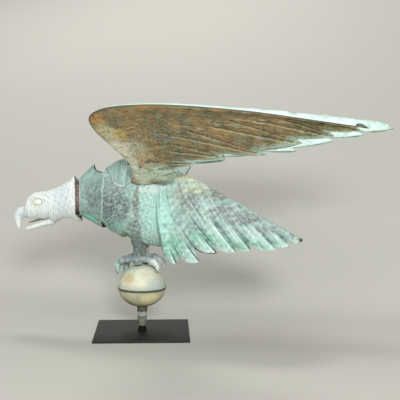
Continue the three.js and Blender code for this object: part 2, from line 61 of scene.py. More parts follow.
# ---- Driving dimensions, as in the CAD model ------------------------------------------------------
GAP = 0.3
COPPER = 1.2
PLATE_SIDE = 235
PLATE_THICK = 4.8
PLATE_TURN = math.radians(20)
ROD_RADIUS = 9.4
TUBE_RADIUS = 11.1
TUBE_BORE = 10.1
BALL_RADIUS = 60
BALL_CENTRE = 112.5
LOWER_DEPTH = 47
SEAM_OVERLAP = 3
NECK_FRONT = -166
NECK_SWEEP = 20
BODY_FRONT = -146
BODY_END = 60
LEG_SPREAD = 24
WING_ROOT_Y = 49
WING_ROOT_Z = 384
LIFT = {LEFT: math.radians(36), RIGHT: math.radians(33)}


# ---- Curves and fields ----------------------------------------------------------------------------
def smooth(value, low, high):
    """0 below low, 1 above high and a smooth step between."""
    t = np.clip((value - low) / (high - low), 0, 1)
    return t * t * (3 - 2 * t)


def full_turn(count):
    """Angles evenly spaced round a full turn."""
    return np.linspace(0, 2 * math.pi, count, endpoint=False)


def bell(value, centre, width):
    return np.exp(-(((value - centre) / width) ** 2))


def spline(points, t):
    """Points of the uniform Catmull-Rom curve through the given points, at t from 0 to 1."""
    points = np.asarray(points, float)
    place = np.clip(t, 0, 1) * (len(points) - 1)
    i = np.minimum(place.astype(int), len(points) - 2)
    w = (place - i)[..., None]
    before = points[np.maximum(i - 1, 0)]
    start = points[i]
    end = points[i + 1]
    after = points[np.minimum(i + 2, len(points) - 1)]
    leave = (end - before) / 2
    arrive = (after - start) / 2
    cubic = (2 * (start - end) + leave + arrive) * w**3
    square = (3 * (end - start) - 2 * leave - arrive) * w**2
    return cubic + square + leave * w + start


def curve_at(points, x):
    """Height at x of the smooth curve through [x, height] points."""
    dense = spline(points, np.linspace(0, 1, 400))
    return np.interp(x, dense[:, 0], dense[:, 1])


def dents(points, size, seed):
    """Smooth unevenness from about -1 to 1, with bumps about size across, the same on every run."""
    random = np.random.default_rng(seed)
    total = np.zeros(points.shape[:-1])
    waves = 7
    for _ in range(waves):
        direction = random.normal(size=3)
        direction *= 2 * math.pi / (np.linalg.norm(direction) * size * random.uniform(0.7, 1.5))
        total += np.sin(points @ direction + random.uniform(0, 2 * math.pi))
    return total / math.sqrt(waves)


def shingles(down, across, lobe=0.45, pointed=2.0):
    """Rows of overlapping feathers. down counts the rows and across counts the feathers in a row.

    Gives the height, from 0 at a feather's hidden end to 1 at its tip, with a raised quill.
    """
    height = np.zeros(np.broadcast(down, across).shape)
    filled = np.zeros(height.shape, bool)
    for back in (1, 0):
        row = np.floor(down) - back
        q = (across + 0.5 * (row % 2)) % 1 - 0.5
        tip = row + 1 + lobe * (1 - np.abs(2 * q) ** pointed)
        inside = (down < tip) & ~filled
        local = (down - row) / (1 + lobe)
        shape = local * (1 - 0.5 * (2 * q) ** 2) + 0.18 * bell(q, 0, 0.07)
        height = np.where(inside, shape, height)
        filled |= inside
    return height


def wear(relief, depth, reach=2):
    """How far each point stands proud of its surroundings, and how far it lies below them, from 0 to 1."""
    soft = relief
    for _ in range(reach):
        wide = np.pad(soft, 1, mode="edge")
        soft = (wide[:-2, 1:-1] + wide[2:, 1:-1] + wide[1:-1, :-2] + wide[1:-1, 2:] + 2 * soft) / 6
    difference = (relief - soft) / depth
    return {"crest": np.clip(difference, 0, 1), "groove": np.clip(-difference, 0, 1)}


# ---- Meshes from grids of points ------------------------------------------------------------------
def ring_walls(rows, length, wrap_rows=False):
    i, j = np.meshgrid(np.arange(rows if wrap_rows else rows - 1), np.arange(length), indexing="ij")
    k = (j + 1) % length
    here = i * length
    there = ((i + 1) % rows) * length
    return np.stack([here + j, here + k, there + k, there + j], -1).reshape(-1, 4).tolist()


def build(name, points, faces, fields):
    """A mesh object in metres from points in millimetres, with its faces out and its fields as attributes."""
    mesh = bpy.data.meshes.new(name)
    mesh.from_pydata((points * MM).tolist(), [], faces)
    for field, values in fields.items():
        attribute = mesh.attributes.new(field, "FLOAT", "POINT")
        attribute.data.foreach_set("value", np.asarray(values, np.float32).ravel())
    shell = bmesh.new()
    shell.from_mesh(mesh)
    bmesh.ops.recalc_face_normals(shell, faces=shell.faces)
    shell.to_mesh(mesh)
    shell.free()
    mesh.shade_smooth()
    mesh.set_sharp_from_angle(angle=math.radians(48))
    piece = bpy.data.objects.new(name, mesh)
    bpy.context.scene.collection.objects.link(piece)
    return piece


def grid_normals(grid):
    normal = np.cross(np.gradient(grid, axis=0), np.gradient(grid, axis=1))
    return normal / np.maximum(np.linalg.norm(normal, axis=-1, keepdims=True), 1e-9)


def closed_sheet(name, rings, fields):
    """A mesh from rows of points that run out over a sheet's outer face and back along its inner one."""
    rows, length = rings.shape[:2]
    columns = length // 2
    faces = ring_walls(rows, length)
    for start in (0, (rows - 1) * length):
        for j in range(columns - 1):
            faces.append([start + j, start + j + 1, start + length - 2 - j, start + length - 1 - j])
    doubled = {key: np.concatenate([value, value[:, ::-1]], axis=1) for key, value in fields.items()}
    doubled["inside"] = np.concatenate([np.zeros((rows, columns)), np.ones((rows, columns))], axis=1)
    return build(name, rings.reshape(-1, 3), faces, doubled)


def sheet(name, base, lift, thickness, fields, side=RIGHT):
    """A closed sheet on a grid: raised by lift along the grid's normals, and thickness deep below that."""
    normal = grid_normals(base)
    outer = base + normal * lift[..., None]
    inner = outer - normal * thickness
    rings = np.concatenate([outer, inner[:, ::-1]], axis=1)
    rings[..., 1] = np.maximum(rings[..., 1], GAP / 2) if base[..., 1].min() >= 0 else rings[..., 1]
    rings[..., 1] *= side
    return closed_sheet(name, rings, fields)


def loft(name, rings, fields=None, wrap=False):
    """A solid through closed rings, with a fan over each end unless the rings come back to the first."""
    rows, length = rings.shape[:2]
    points = rings.reshape(-1, 3)
    faces = ring_walls(rows, length, wrap)
    values = {key: np.asarray(value).reshape(-1) for key, value in (fields or {}).items()}
    if not wrap:
        for start in (0, (rows - 1) * length):
            hub = len(points)
            points = np.vstack([points, points[start : start + length].mean(axis=0)])
            values = {key: np.append(value, value[start]) for key, value in values.items()}
            faces += [[hub, start + j, start + (j + 1) % length] for j in range(length)]
    return build(name, points, faces, values)


def turned(name, profile, segments=128, unevenness=0.0, seed=1):
    """A turned hoop: the profile is a closed list of [radius, height], without its first point repeated."""
    profile = np.asarray(profile, float)
    angle = full_turn(segments)
    radius = profile[:, 0][:, None]
    height = profile[:, 1][:, None] + 0 * angle
    rings = np.stack([radius * np.cos(angle), radius * np.sin(angle), height], axis=-1)
    if unevenness:
        push = unevenness * dents(rings, 28, seed) + 0.4 * unevenness * dents(rings, 9, seed + 1)
        rings[..., 0] += push * np.cos(angle)
        rings[..., 1] += push * np.sin(angle)
    return loft(name, rings, wrap=True)


def heights(node):
    """The lowest and highest z of a CAD node, in millimetres."""
    return [corner[2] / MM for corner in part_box(node)]


def place(piece, node, body, slot, material):
    piece.data.materials.append(material)
    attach(piece, body)
    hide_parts(node)


# ---- Materials ------------------------------------------------------------------------------------
def srgb(text):
    """A hex colour as the linear colour that a shader takes."""
    parts = [int(text[i : i + 2], 16) / 255 for i in (1, 3, 5)]
    linear = [p / 12.92 if p <= 0.04045 else ((p + 0.055) / 1.055) ** 2.4 for p in parts]
    return (*linear, 1.0)


class Paint:
    """A material in the making. Each call adds nodes and gives back the socket with their result."""

    def __init__(self, name, roughness=0.8, metallic=0.0, specular=0.35):
        self.material = bpy.data.materials.new(name)
        self.material.use_nodes = True
        self.tree = self.material.node_tree
        self.shader = self.tree.nodes["Principled BSDF"]
        self.shader.inputs["Roughness"].default_value = roughness
        self.shader.inputs["Metallic"].default_value = metallic
        self.shader.inputs["Specular IOR Level"].default_value = specular
        self.place = self.node("ShaderNodeTexCoord").outputs["Object"]

    def node(self, kind, inputs=None, **settings):
        node = self.tree.nodes.new(kind)
        for key, value in settings.items():
            setattr(node, key, value)
        for key, value in (inputs or {}).items():
            socket = node.inputs[key]
            if isinstance(value, bpy.types.NodeSocket):
                self.tree.links.new(value, socket)
            else:
                socket.default_value = value
        return node

    def math(self, operation, *values, clamp=False):
        inputs = dict(enumerate(values))
        return self.node("ShaderNodeMath", inputs, operation=operation, use_clamp=clamp).outputs[0]

    def vector(self, operation, inputs, result="Vector"):
        return self.node("ShaderNodeVectorMath", inputs, operation=operation).outputs[result]

    def field(self, name):
        return self.node("ShaderNodeAttribute", attribute_name=name).outputs["Fac"]

    def stretched(self, x, y, z, source=None):
        """Coordinates squeezed so that a texture is x, y and z times as long along each axis."""
        inputs = {"Vector": source or self.place, "Scale": (1 / x, 1 / y, 1 / z)}
        return self.node("ShaderNodeMapping", inputs).outputs["Vector"]

    def noise(self, size, seed=0.0, detail=4.0, rough=0.55, source=None, distortion=0.0):
        """Noise from 0 to 1 with blotches about size millimetres across."""
        inputs = {
            "Vector": source or self.place,
            "W": seed,
            "Scale": 1 / (size * MM),
            "Detail": detail,
            "Roughness": rough,
            "Distortion": distortion,
        }
        return self.node("ShaderNodeTexNoise", inputs, noise_dimensions="4D").outputs["Fac"]

    def cells(self, size, seed=0.0, feature="F1", source=None):
        inputs = {"Vector": source or self.place, "W": seed, "Scale": 1 / (size * MM)}
        node = self.node("ShaderNodeTexVoronoi", inputs, voronoi_dimensions="4D", feature=feature)
        return node.outputs["Distance"]

    def span(self, value, low, high, bottom=0.0, top=1.0):
        """The value carried smoothly from the range low..high to bottom..top."""
        inputs = {"Value": value, "From Min": low, "From Max": high, "To Min": bottom, "To Max": top}
        node = self.node("ShaderNodeMapRange", inputs, interpolation_type="SMOOTHSTEP", clamp=True)
        return node.outputs["Result"]

    def blend(self, factor, below, above):
        """Colour below, with colour above laid over it by factor."""
        node = self.node("ShaderNodeMix", data_type="RGBA")
        for index, value in ((0, factor), (6, below), (7, above)):
            if isinstance(value, str):
                value = srgb(value)
            if isinstance(value, bpy.types.NodeSocket):
                self.tree.links.new(value, node.inputs[index])
            else:
                node.inputs[index].default_value = value
        return node.outputs[2]

    def over(self, colour, tint, amount, strength):
        """The colour with a tint laid over it, as strongly as strength where amount is 1."""
        return self.blend(self.math("MULTIPLY", amount, strength), colour, tint)

    def stained(self, colour, stains, source):
        """The colour with stains laid over it, each of them (centre, radii, tint, strength)."""
        for centre, radii, tint, strength in stains:
            colour = self.over(colour, tint, self.stain(centre, radii, source), strength)
        return colour

    def height(self, source=None):
        return self.node("ShaderNodeSeparateXYZ", {0: source or self.place}).outputs["Z"]

    def ragged(self, amount, size):
        """Coordinates shaken by noise, for stains with ragged edges."""
        inputs = {"Vector": self.place, "Scale": 1 / (size * MM), "Detail": 5.0, "Roughness": 0.65}
        shake = self.node("ShaderNodeTexNoise", inputs).outputs["Color"]
        centred = self.vector("SUBTRACT", {0: shake, 1: (0.5, 0.5, 0.5)})
        scaled = self.vector("SCALE", {0: centred, "Scale": amount * MM})
        return self.vector("ADD", {0: self.place, 1: scaled})

    def stain(self, centre, radii, source, soft=0.6):
        """1 inside an ellipsoid, falling to 0 at its surface. Millimetres."""
        away = self.vector("ADD", {0: source, 1: [-c * MM for c in centre]})
        unit = self.vector("MULTIPLY", {0: away, 1: [1 / (r * MM) for r in radii]})
        reach = self.vector("LENGTH", {0: unit}, "Value")
        return self.span(reach, 1.0, 1.0 - soft)

    def bump(self, height, distance, strength=1.0):
        inputs = {"Height": height, "Distance": distance * MM, "Strength": strength}
        normal = self.shader.inputs["Normal"]
        if normal.is_linked:
            inputs["Normal"] = normal.links[0].from_socket
        node = self.node("ShaderNodeBump", inputs)
        self.tree.links.new(node.outputs["Normal"], normal)

    def colour(self, value):
        self.tree.links.new(value, self.shader.inputs["Base Color"])
        return self.material

    def roughness(self, value):
        self.tree.links.new(value, self.shader.inputs["Roughness"])


FAR = 2000  # a radius so large that a stain runs right through the piece


def fibres(paint, colour):
    """Fine dark and light streaks that run along the feathers, where the piece says how they lie."""
    inputs = {"X": paint.field("lane"), "Y": paint.field("length")}
    lie = paint.node("ShaderNodeCombineXYZ", inputs).outputs[0]
    streak = paint.noise(2.6, 19.0, 6, 0.7, source=lie)
    for low, high, tint in ((0.49, 0.38, "#5d6d6b"), (0.53, 0.64, "#dcebe5")):
        colour = paint.over(colour, tint, paint.span(streak, low, high), paint.field("fibred"))
    return colour


# Tints of raised edges and grooves; on the tail they also paint highlight and shade.
WEAR_AND_SHADE_TINTS = ("#d2efe5", "#36423c")  # the colours of raised edges and of grooves


def patina(name, ground, mottle, stains=(), speckled=(), pitting=0.5, chalking=0.5, edges=WEAR_AND_SHADE_TINTS):
    """Weathered copper: two ground colours, stains in the side view, dark pits, white chalk, worn edges.

    A stain is (x, z, half length, half height, colour, strength), and a speckled place, where the pits are
    strongest, is (x, z, half length, half height). The edge tints also lay painted highlight and shade
    where a piece puts them in its crest and groove fields.
    """
    paint = Paint(name, roughness=0.85, specular=0.25)
    ragged = paint.ragged(30, 20)
    colour = paint.blend(paint.span(paint.noise(30, 1.0, 6, 0.65), 0.40, 0.60), ground, mottle)
    placed = [((x, 0, z), (long, FAR, high), tint, strength) for x, z, long, high, tint, strength in stains]
    colour = paint.stained(colour, placed, ragged)
    coarse = paint.noise(10, 3.0, 8, 0.75, distortion=1.0)
    fine = paint.noise(4, 4.0, 7, 0.75, distortion=0.5)
    grain = paint.math("MULTIPLY_ADD", fine, 0.4, paint.math("MULTIPLY", coarse, 0.6))
    regions = paint.span(paint.noise(48, 7.0, 3), 0.45, 0.70, 0.12, 0.6)
    for x, z, long, high in speckled:
        inside = paint.stain((x, 0, z), (long, FAR, high), ragged)
        regions = paint.math("MAXIMUM", regions, inside)
    pit = paint.math("MULTIPLY", paint.span(grain, 0.50, 0.42), regions)
    colour = paint.over(colour, "#3b4745", pit, pitting)
    streaky = paint.noise(8, 11.0, 8, 0.8, source=paint.stretched(1, 1, 1.8), distortion=1.2)
    white = paint.span(streaky, 0.52, 0.62)
    colour = paint.over(colour, "#e2efe9", white, chalking)
    crack_width = 0.035
    cracks = paint.cells(17, 5.0, "DISTANCE_TO_EDGE", source=paint.ragged(26, 12))
    vein = paint.math("MULTIPLY", paint.span(cracks, crack_width, 0.0), regions)
    colour = paint.over(colour, "#cfdfdb", vein, 0.6)
    colour = fibres(paint, colour)
    # The crest tint also lays the painted highlights of the tail and the cap, and the groove tint the painted
    # shade of the tail.
    crest_and_highlight_tint, groove_and_shade_tint = edges
    colour = paint.over(colour, crest_and_highlight_tint, paint.field("crest"), 0.85)
    colour = paint.over(colour, groove_and_shade_tint, paint.field("groove"), 0.9)
    colour = paint.over(colour, "#4a3b2c", paint.field("inside"), 0.8)
    paint.roughness(paint.span(fine, 0.3, 0.7, 0.95, 0.7))
    paint.bump(paint.noise(14, 5.0, 4), 1.4, 0.6)
    paint.bump(grain, 0.9, 0.8)
    return paint.colour(colour)


def body_paint():
    """One weathering for body, flank and tail: grey breast, mint flank, olive rump, mint feather tips."""
    stains = [
        (-60, 330, 70, 80, "#6b7d7b", 0.95),
        (-75, 375, 40, 22, "#8b9f99", 0.7),
        (-70, 325, 34, 34, "#4f5f5f", 0.8),
        (-28, 322, 30, 40, "#617371", 0.75),
        (-62, 272, 40, 18, "#76ab99", 0.85),
        (-36, 243, 22, 12, "#6c8048", 0.8),
        (44, 320, 44, 84, "#a1ccc2", 1.0),
        (40, 368, 46, 14, "#cfe2dc", 0.85),
        (40, 335, 9, 60, "#bedbd3", 0.7),
        (8, 330, 11, 70, "#6f6a62", 0.8),
        (-2, 262, 26, 40, "#6e7f79", 0.85),
        (72, 300, 50, 56, "#a5d7cb", 0.9),
        (100, 230, 56, 40, "#7ebaa5", 0.9),
        (62, 396, 40, 16, "#b2b18c", 0.85),
        (125, 392, 46, 14, "#c2c29c", 0.95),
        (150, 366, 40, 20, "#aeb491", 0.85),
        (140, 338, 34, 34, "#8a8f89", 0.9),
        (112, 362, 22, 20, "#969a86", 0.8),
        (190, 312, 24, 18, "#c0d6cd", 0.7),
        (206, 358, 60, 26, "#7e8574", 0.95),
        (225, 318, 44, 16, "#888c8f", 0.9),
        (275, 300, 50, 15, "#85898c", 0.9),
        (322, 276, 40, 12, "#8d9595", 0.8),
        (300, 308, 60, 10, "#98a79c", 0.8),
        (190, 256, 56, 26, "#78b8a2", 0.9),
        (270, 250, 66, 20, "#80b7a6", 0.9),
        (350, 250, 46, 14, "#84b2a2", 0.8),
        (392, 252, 18, 12, "#7f8f76", 0.7),
        (300, 242, 76, 16, "#458571", 1.0),
    ]
    speckled = [
        (-60, 325, 60, 62),
        (5, 330, 14, 66),
        (0, 262, 26, 40),
        (145, 335, 46, 34),
        (200, 305, 44, 24),
        (270, 296, 60, 18),
        (-60, 280, 40, 20),
    ]
    return patina("patina_body", "#92ada6", "#aac8c0", stains, speckled, pitting=0.95, chalking=0.5)


def collar_paint():
    stains = [
        (-104, 340, 34, 44, "#687a7a", 0.85),
        (-140, 340, 16, 50, "#93ada7", 0.7),
        (-128, 286, 34, 18, "#7fc9b5", 0.95),
        (-103, 262, 8, 7, "#4d5733", 0.95),
        (-140, 390, 26, 14, "#93b8ab", 0.8),
    ]
    speckled = [(-104, 340, 34, 46)]
    return patina("patina_collar", "#7a928c", "#8aa59d", stains, speckled, pitting=0.6, chalking=0.35)


def cap_paint():
    # The near-white crest tint paints worn edges and also the painted highlight along the cap's border.
    edges = ("#f0f4ee", "#38403a")
    return patina("patina_cap", "#92b3ab", "#a0beb5", pitting=0.3, chalking=0.35, edges=edges)


def wing_top_paint():
    edges = ("#e2f3ea", "#6f8f86")
    stains = [(594, 510, 24, 24, "#5d5f4c", 0.9)]
    return patina("patina_wing_top", "#d3eae2", "#c3e0d7", stains, pitting=0.2, chalking=0.6, edges=edges)


# Stains on the wings' undersides: x, distance from the middle plane, half lengths, colour, strength.
WING_STAINS = [
    (68, 318, 44, 30, "#5f6f62", 0.85),
    (0, 262, 22, 26, "#c98d48", 0.7),
    (125, 312, 34, 26, "#c08a4a", 0.85),
    (190, 312, 50, 9, "#b98445", 0.7),
    (4, 225, 34, 40, "#cdc49f", 0.9),
    (44, 162, 56, 52, "#c4c3a9", 0.95),
    (10, 165, 40, 56, "#e4dfc8", 1.0),
    (28, 95, 40, 60, "#dfdfca", 1.0),
    (36, 217, 22, 22, "#c3ad5c", 0.8),
    (58, 120, 24, 12, "#cf9148", 0.9),
    (60, 150, 30, 18, "#b09260", 0.7),
    (82, 92, 72, 44, "#c3d6be", 1.0),
    (110, 50, 30, 20, "#c3d6c4", 0.85),
    (82, 131, 40, 6, "#4d5b48", 0.9),
    (128, 121, 24, 7, "#47634a", 0.9),
    (150, 157, 18, 9, "#46604a", 0.8),
    (172, 141, 18, 9, "#46604a", 0.8),
    (150, 130, 34, 14, "#9dab98", 0.7),
    (200, 140, 40, 16, "#a9895c", 0.6),
    (215, 118, 40, 10, "#b5ccb4", 0.8),
    (130, 205, 44, 26, "#6f7c6e", 0.6),
    (250, 215, 60, 30, "#b0884c", 0.6),
    (290, 168, 50, 20, "#a8895e", 0.6),
    (345, 152, 26, 12, "#6fa08c", 0.75),
    (330, 250, 60, 26, "#a5824c", 0.5),
    (450, 230, 70, 26, "#9c8b5e", 0.5),
    (480, 240, 80, 50, "#665a34", 0.85),
    (400, 205, 70, 40, "#7b673b", 0.7),
]


def wing_under_paint():
    """The sheltered underside: brown copper with ochre, teal and cream stains, mint at the feather edges."""
    paint = Paint("patina_wing_under", roughness=0.75, specular=0.3)
    chord = paint.field("chord")
    ragged = paint.ragged(34, 20)
    blotch = paint.noise(34, 2.0, 7, 0.7)
    colour = paint.blend(paint.span(blotch, 0.42, 0.58), "#7a7156", "#9d8559")
    orange = paint.span(paint.noise(20, 8.0, 7, 0.72), 0.52, 0.62)
    colour = paint.over(colour, "#b07b3f", orange, 0.7)
    for x, out, long, wide, tint, strength in WING_STAINS:
        for side in (LEFT, RIGHT):
            stain = ((x, side * out, 0), (long, wide, FAR), tint, strength)
            colour = paint.stained(colour, [stain], ragged)
    grey = paint.span(paint.noise(18, 13.0, 7, 0.72), 0.54, 0.64)
    colour = paint.over(colour, "#7b8f84", grey, 0.75)
    yellow = paint.span(paint.noise(14, 17.0, 6, 0.7), 0.57, 0.66)
    colour = paint.over(colour, "#c0b27c", yellow, 0.6)
    trailing = paint.span(paint.math("ADD", chord, paint.math("MULTIPLY", blotch, 0.22)), 0.98, 1.10)
    colour = paint.over(colour, "#bcd8c6", trailing, 0.85)
    coarse = paint.noise(12, 3.0, 7, 0.72)
    fine = paint.noise(5, 4.0, 7, 0.7)
    grain = paint.math("MULTIPLY_ADD", fine, 0.5, paint.math("MULTIPLY", coarse, 0.5))
    colour = paint.over(colour, "#46463a", paint.span(grain, 0.48, 0.40), 0.75)
    light = paint.span(paint.noise(8, 21.0, 7, 0.75), 0.55, 0.66)
    colour = paint.over(colour, "#cfcdae", light, 0.5)
    colour = paint.over(colour, "#b9bfa0", paint.field("crest"), 0.5)
    colour = paint.over(colour, "#383627", paint.field("groove"), 0.9)
    rim = paint.span(chord, 0.02, 0.0)
    colour = paint.over(colour, "#47493c", rim, 0.8)
    for side in (LEFT, RIGHT):
        tip = paint.stain((604, side * 232, 0), (44, 44, FAR), paint.ragged(8, 10), soft=0.3)
        colour = paint.blend(tip, colour, "#cfe4da")
    paint.bump(paint.noise(16, 5.0, 5), 1.4, 0.6)
    paint.bump(grain, 0.9, 0.8)
    return paint.colour(colour)


def zinc_paint():
    """White oxide on cast zinc."""
    paint = Paint("zinc_white", roughness=0.9, specular=0.2)
    ragged = paint.ragged(14, 16)
    cloud = paint.noise(26, 2.0, 5)
    colour = paint.blend(paint.span(cloud, 0.4, 0.62), "#dfe8e6", "#e8efea")
    stains = [
        ((-322, 0, 278), (30, FAR, 26), "#c9d8dd", 0.7),
        ((-205, 0, 330), (34, FAR, 60), "#c6d6da", 0.6),
        ((-276, 0, 324), (26, FAR, 22), "#e6ecd9", 0.7),
    ]
    colour = paint.stained(colour, stains, ragged)
    colour = paint.over(colour, "#ecefdd", paint.field("eye"), 0.8)
    colour = paint.stained(colour, [((-165, 0, 274), (16, FAR, 12), "#b9be92", 0.7)], ragged)
    fine = paint.noise(3, 3.0, 8, 0.7)
    grime = paint.span(paint.noise(8, 9.0, 7, 0.7), 0.48, 0.38)
    colour = paint.over(colour, "#9aa5a4", grime, 0.4)
    colour = paint.over(colour, "#a0aaa7", paint.span(fine, 0.42, 0.3), 0.4)
    colour = paint.over(colour, "#87918f", paint.field("groove"), 0.75)
    colour = paint.over(colour, "#e4e8e1", paint.field("crest"), 0.6)
    colour = paint.over(colour, "#7d7876", paint.field("inside"), 0.9)
    paint.bump(fine, 0.35, 0.7)
    paint.bump(paint.noise(9, 6.0, 4), 0.6, 0.5)
    return paint.colour(colour)


def tongue_paint():
    paint = Paint("zinc_dark", roughness=0.85)
    colour = paint.blend(paint.noise(5, 1.0, 5), "#4a4c45", "#8b8d84")
    paint.bump(paint.noise(3, 3.0, 5), 0.4, 0.6)
    return paint.colour(colour)


def ball_top_paint():
    paint = Paint("patina_ball_top", roughness=0.8, specular=0.3)
    ragged = paint.ragged(16, 18)
    cloud = paint.noise(24, 4.0, 6)
    colour = paint.blend(paint.span(cloud, 0.4, 0.62), "#c9c8ae", "#d6d8c4")
    stains = [
        ((-16, -52, 142), (24, 30, 20), "#c2b284", 0.75),
        ((52, -30, 124), (36, 50, 26), "#b0beb6", 0.8),
        ((-30, -20, 165), (36, 40, 18), "#bcd9c6", 0.6),
    ]
    colour = paint.stained(colour, stains, ragged)
    fine = paint.noise(3.5, 3.0, 8, 0.7)
    colour = paint.over(colour, "#6f8077", paint.span(fine, 0.44, 0.33), 0.6)
    height = paint.height()
    # Painted shade: the rolled rim is darkened, and a painted shadow line runs just above the seam where the
    # halves lap.
    rim = paint.span(height, (BALL_CENTRE + 16) * MM, (BALL_CENTRE + 6) * MM)
    colour = paint.over(colour, "#a2aba0", rim, 0.6)
    lip = paint.span(height, (BALL_CENTRE + 5.0) * MM, (BALL_CENTRE + 2.5) * MM)
    colour = paint.over(colour, "#3d3f33", lip, 0.9)
    paint.bump(fine, 0.35, 0.6)
    paint.bump(paint.noise(10, 9.0, 4), 0.6, 0.4)
    return paint.colour(colour)


def ball_bottom_paint():
    paint = Paint("patina_ball_bottom", roughness=0.75, specular=0.3)
    ragged = paint.ragged(16, 18)
    cloud = paint.noise(22, 5.0, 6)
    colour = paint.blend(paint.span(cloud, 0.4, 0.62), "#aaa98e", "#bbba9b")
    stains = [
        ((36, -36, 90), (34, 40, 22), "#d6cc9c", 0.85),
        ((-30, -30, 78), (34, 40, 16), "#75796b", 0.7),
    ]
    colour = paint.stained(colour, stains, ragged)
    height = paint.height()
    foot = paint.span(height, (BALL_CENTRE - 36) * MM, (BALL_CENTRE - 48) * MM)
    colour = paint.over(colour, "#5a4d33", foot, 0.8)
    shade = paint.span(height, (BALL_CENTRE - 5) * MM, (BALL_CENTRE - 1.5) * MM)
    colour = paint.over(colour, "#45463a", shade, 0.85)
    fine = paint.noise(3.5, 3.0, 8, 0.7)
    colour = paint.over(colour, "#5d6757", paint.span(fine, 0.44, 0.33), 0.5)
    paint.bump(fine, 0.35, 0.6)
    return paint.colour(colour)


def tube_paint(name, ground, mottle, dark):
    paint = Paint(name, roughness=0.65, specular=0.4)
    colour = paint.blend(paint.span(paint.noise(9, 2.0, 6, 0.65), 0.4, 0.6), ground, mottle)
    drip = paint.noise(4, 6.0, 5, 0.6, source=paint.stretched(1, 1, 3))
    colour = paint.over(colour, dark, paint.span(drip, 0.52, 0.64), 0.7)
    paint.bump(paint.noise(3, 4.0, 6), 0.3, 0.6)
    return paint.colour(colour)


def dark_patina_paint():
    """Legs and feet: dark patina with white speckle, near-white rear toes and mint claws."""
    paint = Paint("patina_dark", roughness=0.8, specular=0.3)
    ragged = paint.ragged(10, 10)
    colour = paint.blend(paint.span(paint.noise(10, 2.0, 6, 0.65), 0.4, 0.6), "#6a7b77", "#9aa9ab")
    height = paint.height(ragged)
    shank = paint.span(height, 0.196, 0.210)
    colour = paint.over(colour, "#56645f", shank, 0.8)
    for side in (LEFT, RIGHT):
        y = side * LEG_SPREAD
        hind = ((50, y, 178), (30, 26, 24), "#dde6e4", 0.9)
        front = ((-56, y, 170), (26, 34, 26), "#b3d6cc", 0.85)
        colour = paint.stained(colour, [hind, front], ragged)
    far_leg = ((10, LEG_SPREAD, 225), (30, 14, 34), "#c6d6cb", 0.7)
    colour = paint.stained(colour, [far_leg], ragged)
    white = paint.span(paint.noise(4, 11.0, 8, 0.7), 0.53, 0.66)
    colour = paint.over(colour, "#d6e2df", white, 0.7)
    pit = paint.span(paint.noise(5, 15.0, 8, 0.7), 0.48, 0.38)
    colour = paint.over(colour, "#37423f", pit, 0.7)
    paint.bump(paint.noise(4, 4.0, 6, 0.65), 0.7, 0.7)
    return paint.colour(colour)


def black_steel_paint():
    paint = Paint("black_steel", roughness=0.5, metallic=0.0, specular=0.35)
    grain = paint.noise(1.2, 2.0, 5)
    colour = paint.blend(paint.noise(60, 4.0, 3), "#131312", "#1b1b19")
    paint.roughness(paint.span(grain, 0.3, 0.7, 0.42, 0.58))
    paint.bump(grain, 0.04, 0.5)
    return paint.colour(colour)


def rod_paint():
    paint = Paint("black_rod", roughness=0.6, specular=0.12)
    paint.bump(paint.noise(1.5, 2.0, 4), 0.05, 0.5)
    return paint.colour(paint.blend(paint.noise(20, 4.0, 3), "#0c0c0a", "#161613"))


def bright_steel_paint():
    paint = Paint("bright_steel", roughness=0.3, metallic=1.0)
    colour = paint.blend(paint.noise(3, 1.0, 4), "#8f9294", "#b4b7b8")
    paint.bump(paint.noise(0.6, 4.0, 3), 0.02, 0.5)
    return paint.colour(colour)


def bare_copper_paint():
    """Unexposed copper inside the vane, dulled to brown with a little green at its edges."""
    paint = Paint("bare_copper", roughness=0.65, metallic=0.2)
    colour = paint.blend(paint.span(paint.noise(9, 1.0, 6, 0.7), 0.42, 0.58), "#7c6058", "#a58d86")
    green = paint.span(paint.noise(6, 9.0, 7, 0.7), 0.54, 0.64)
    colour = paint.over(colour, "#9aaba5", green, 0.6)
    dark = paint.span(paint.noise(5, 13.0, 7, 0.7), 0.47, 0.38)
    colour = paint.over(colour, "#3d332f", dark, 0.7)
    paint.bump(paint.noise(2.5, 4.0, 6), 0.2, 0.6)
    return paint.colour(colour)


# ---- The stand ------------------------------------------------------------------------------------
def base_plate(material):
    """The square steel plate with its ground edges."""
    shell = bmesh.new()
    bmesh.ops.create_cube(shell, size=1)
    for vertex in shell.verts:
        x, y, z = vertex.co
        vertex.co = (x * PLATE_SIDE * MM, y * PLATE_SIDE * MM, (z + 0.5) * PLATE_THICK * MM)
    bmesh.ops.bevel(shell, geom=list(shell.edges), offset=0.7 * MM, segments=3, affect="EDGES", profile=0.5)
    bmesh.ops.rotate(shell, cent=(0, 0, 0), verts=shell.verts, matrix=Matrix.Rotation(PLATE_TURN, 3, "Z"))
    mesh = bpy.data.meshes.new("steel_plate")
    shell.to_mesh(mesh)
    shell.free()
    mesh.shade_smooth()
    mesh.set_sharp_from_angle(angle=math.radians(35))
    piece = bpy.data.objects.new("steel_plate", mesh)
    bpy.context.scene.collection.objects.link(piece)
    place(piece, "base_plate", "stand", "black_steel", material)


def spindle_rod(material):
    """The rod, with the weld bead that holds it to the plate and a rounded top."""
    low, high = heights("spindle_rod")
    around_bead = np.linspace(0, 1.5, 7)
    bead = [(ROD_RADIUS + 2.6 * math.cos(a), low + 0.2 + 2.4 * math.sin(a)) for a in around_bead]
    bottom = [[0.01, low], *bead]
    rounding = [[ROD_RADIUS - 0.6, high - 2], [ROD_RADIUS - 2, high]]
    shaft = [[ROD_RADIUS, low + 5], [ROD_RADIUS, high - 5], *rounding]
    piece = turned("steel_rod", bottom + shaft + [[0.01, high]], segments=64)
    place(piece, "spindle_rod", "stand", "black_steel", material)


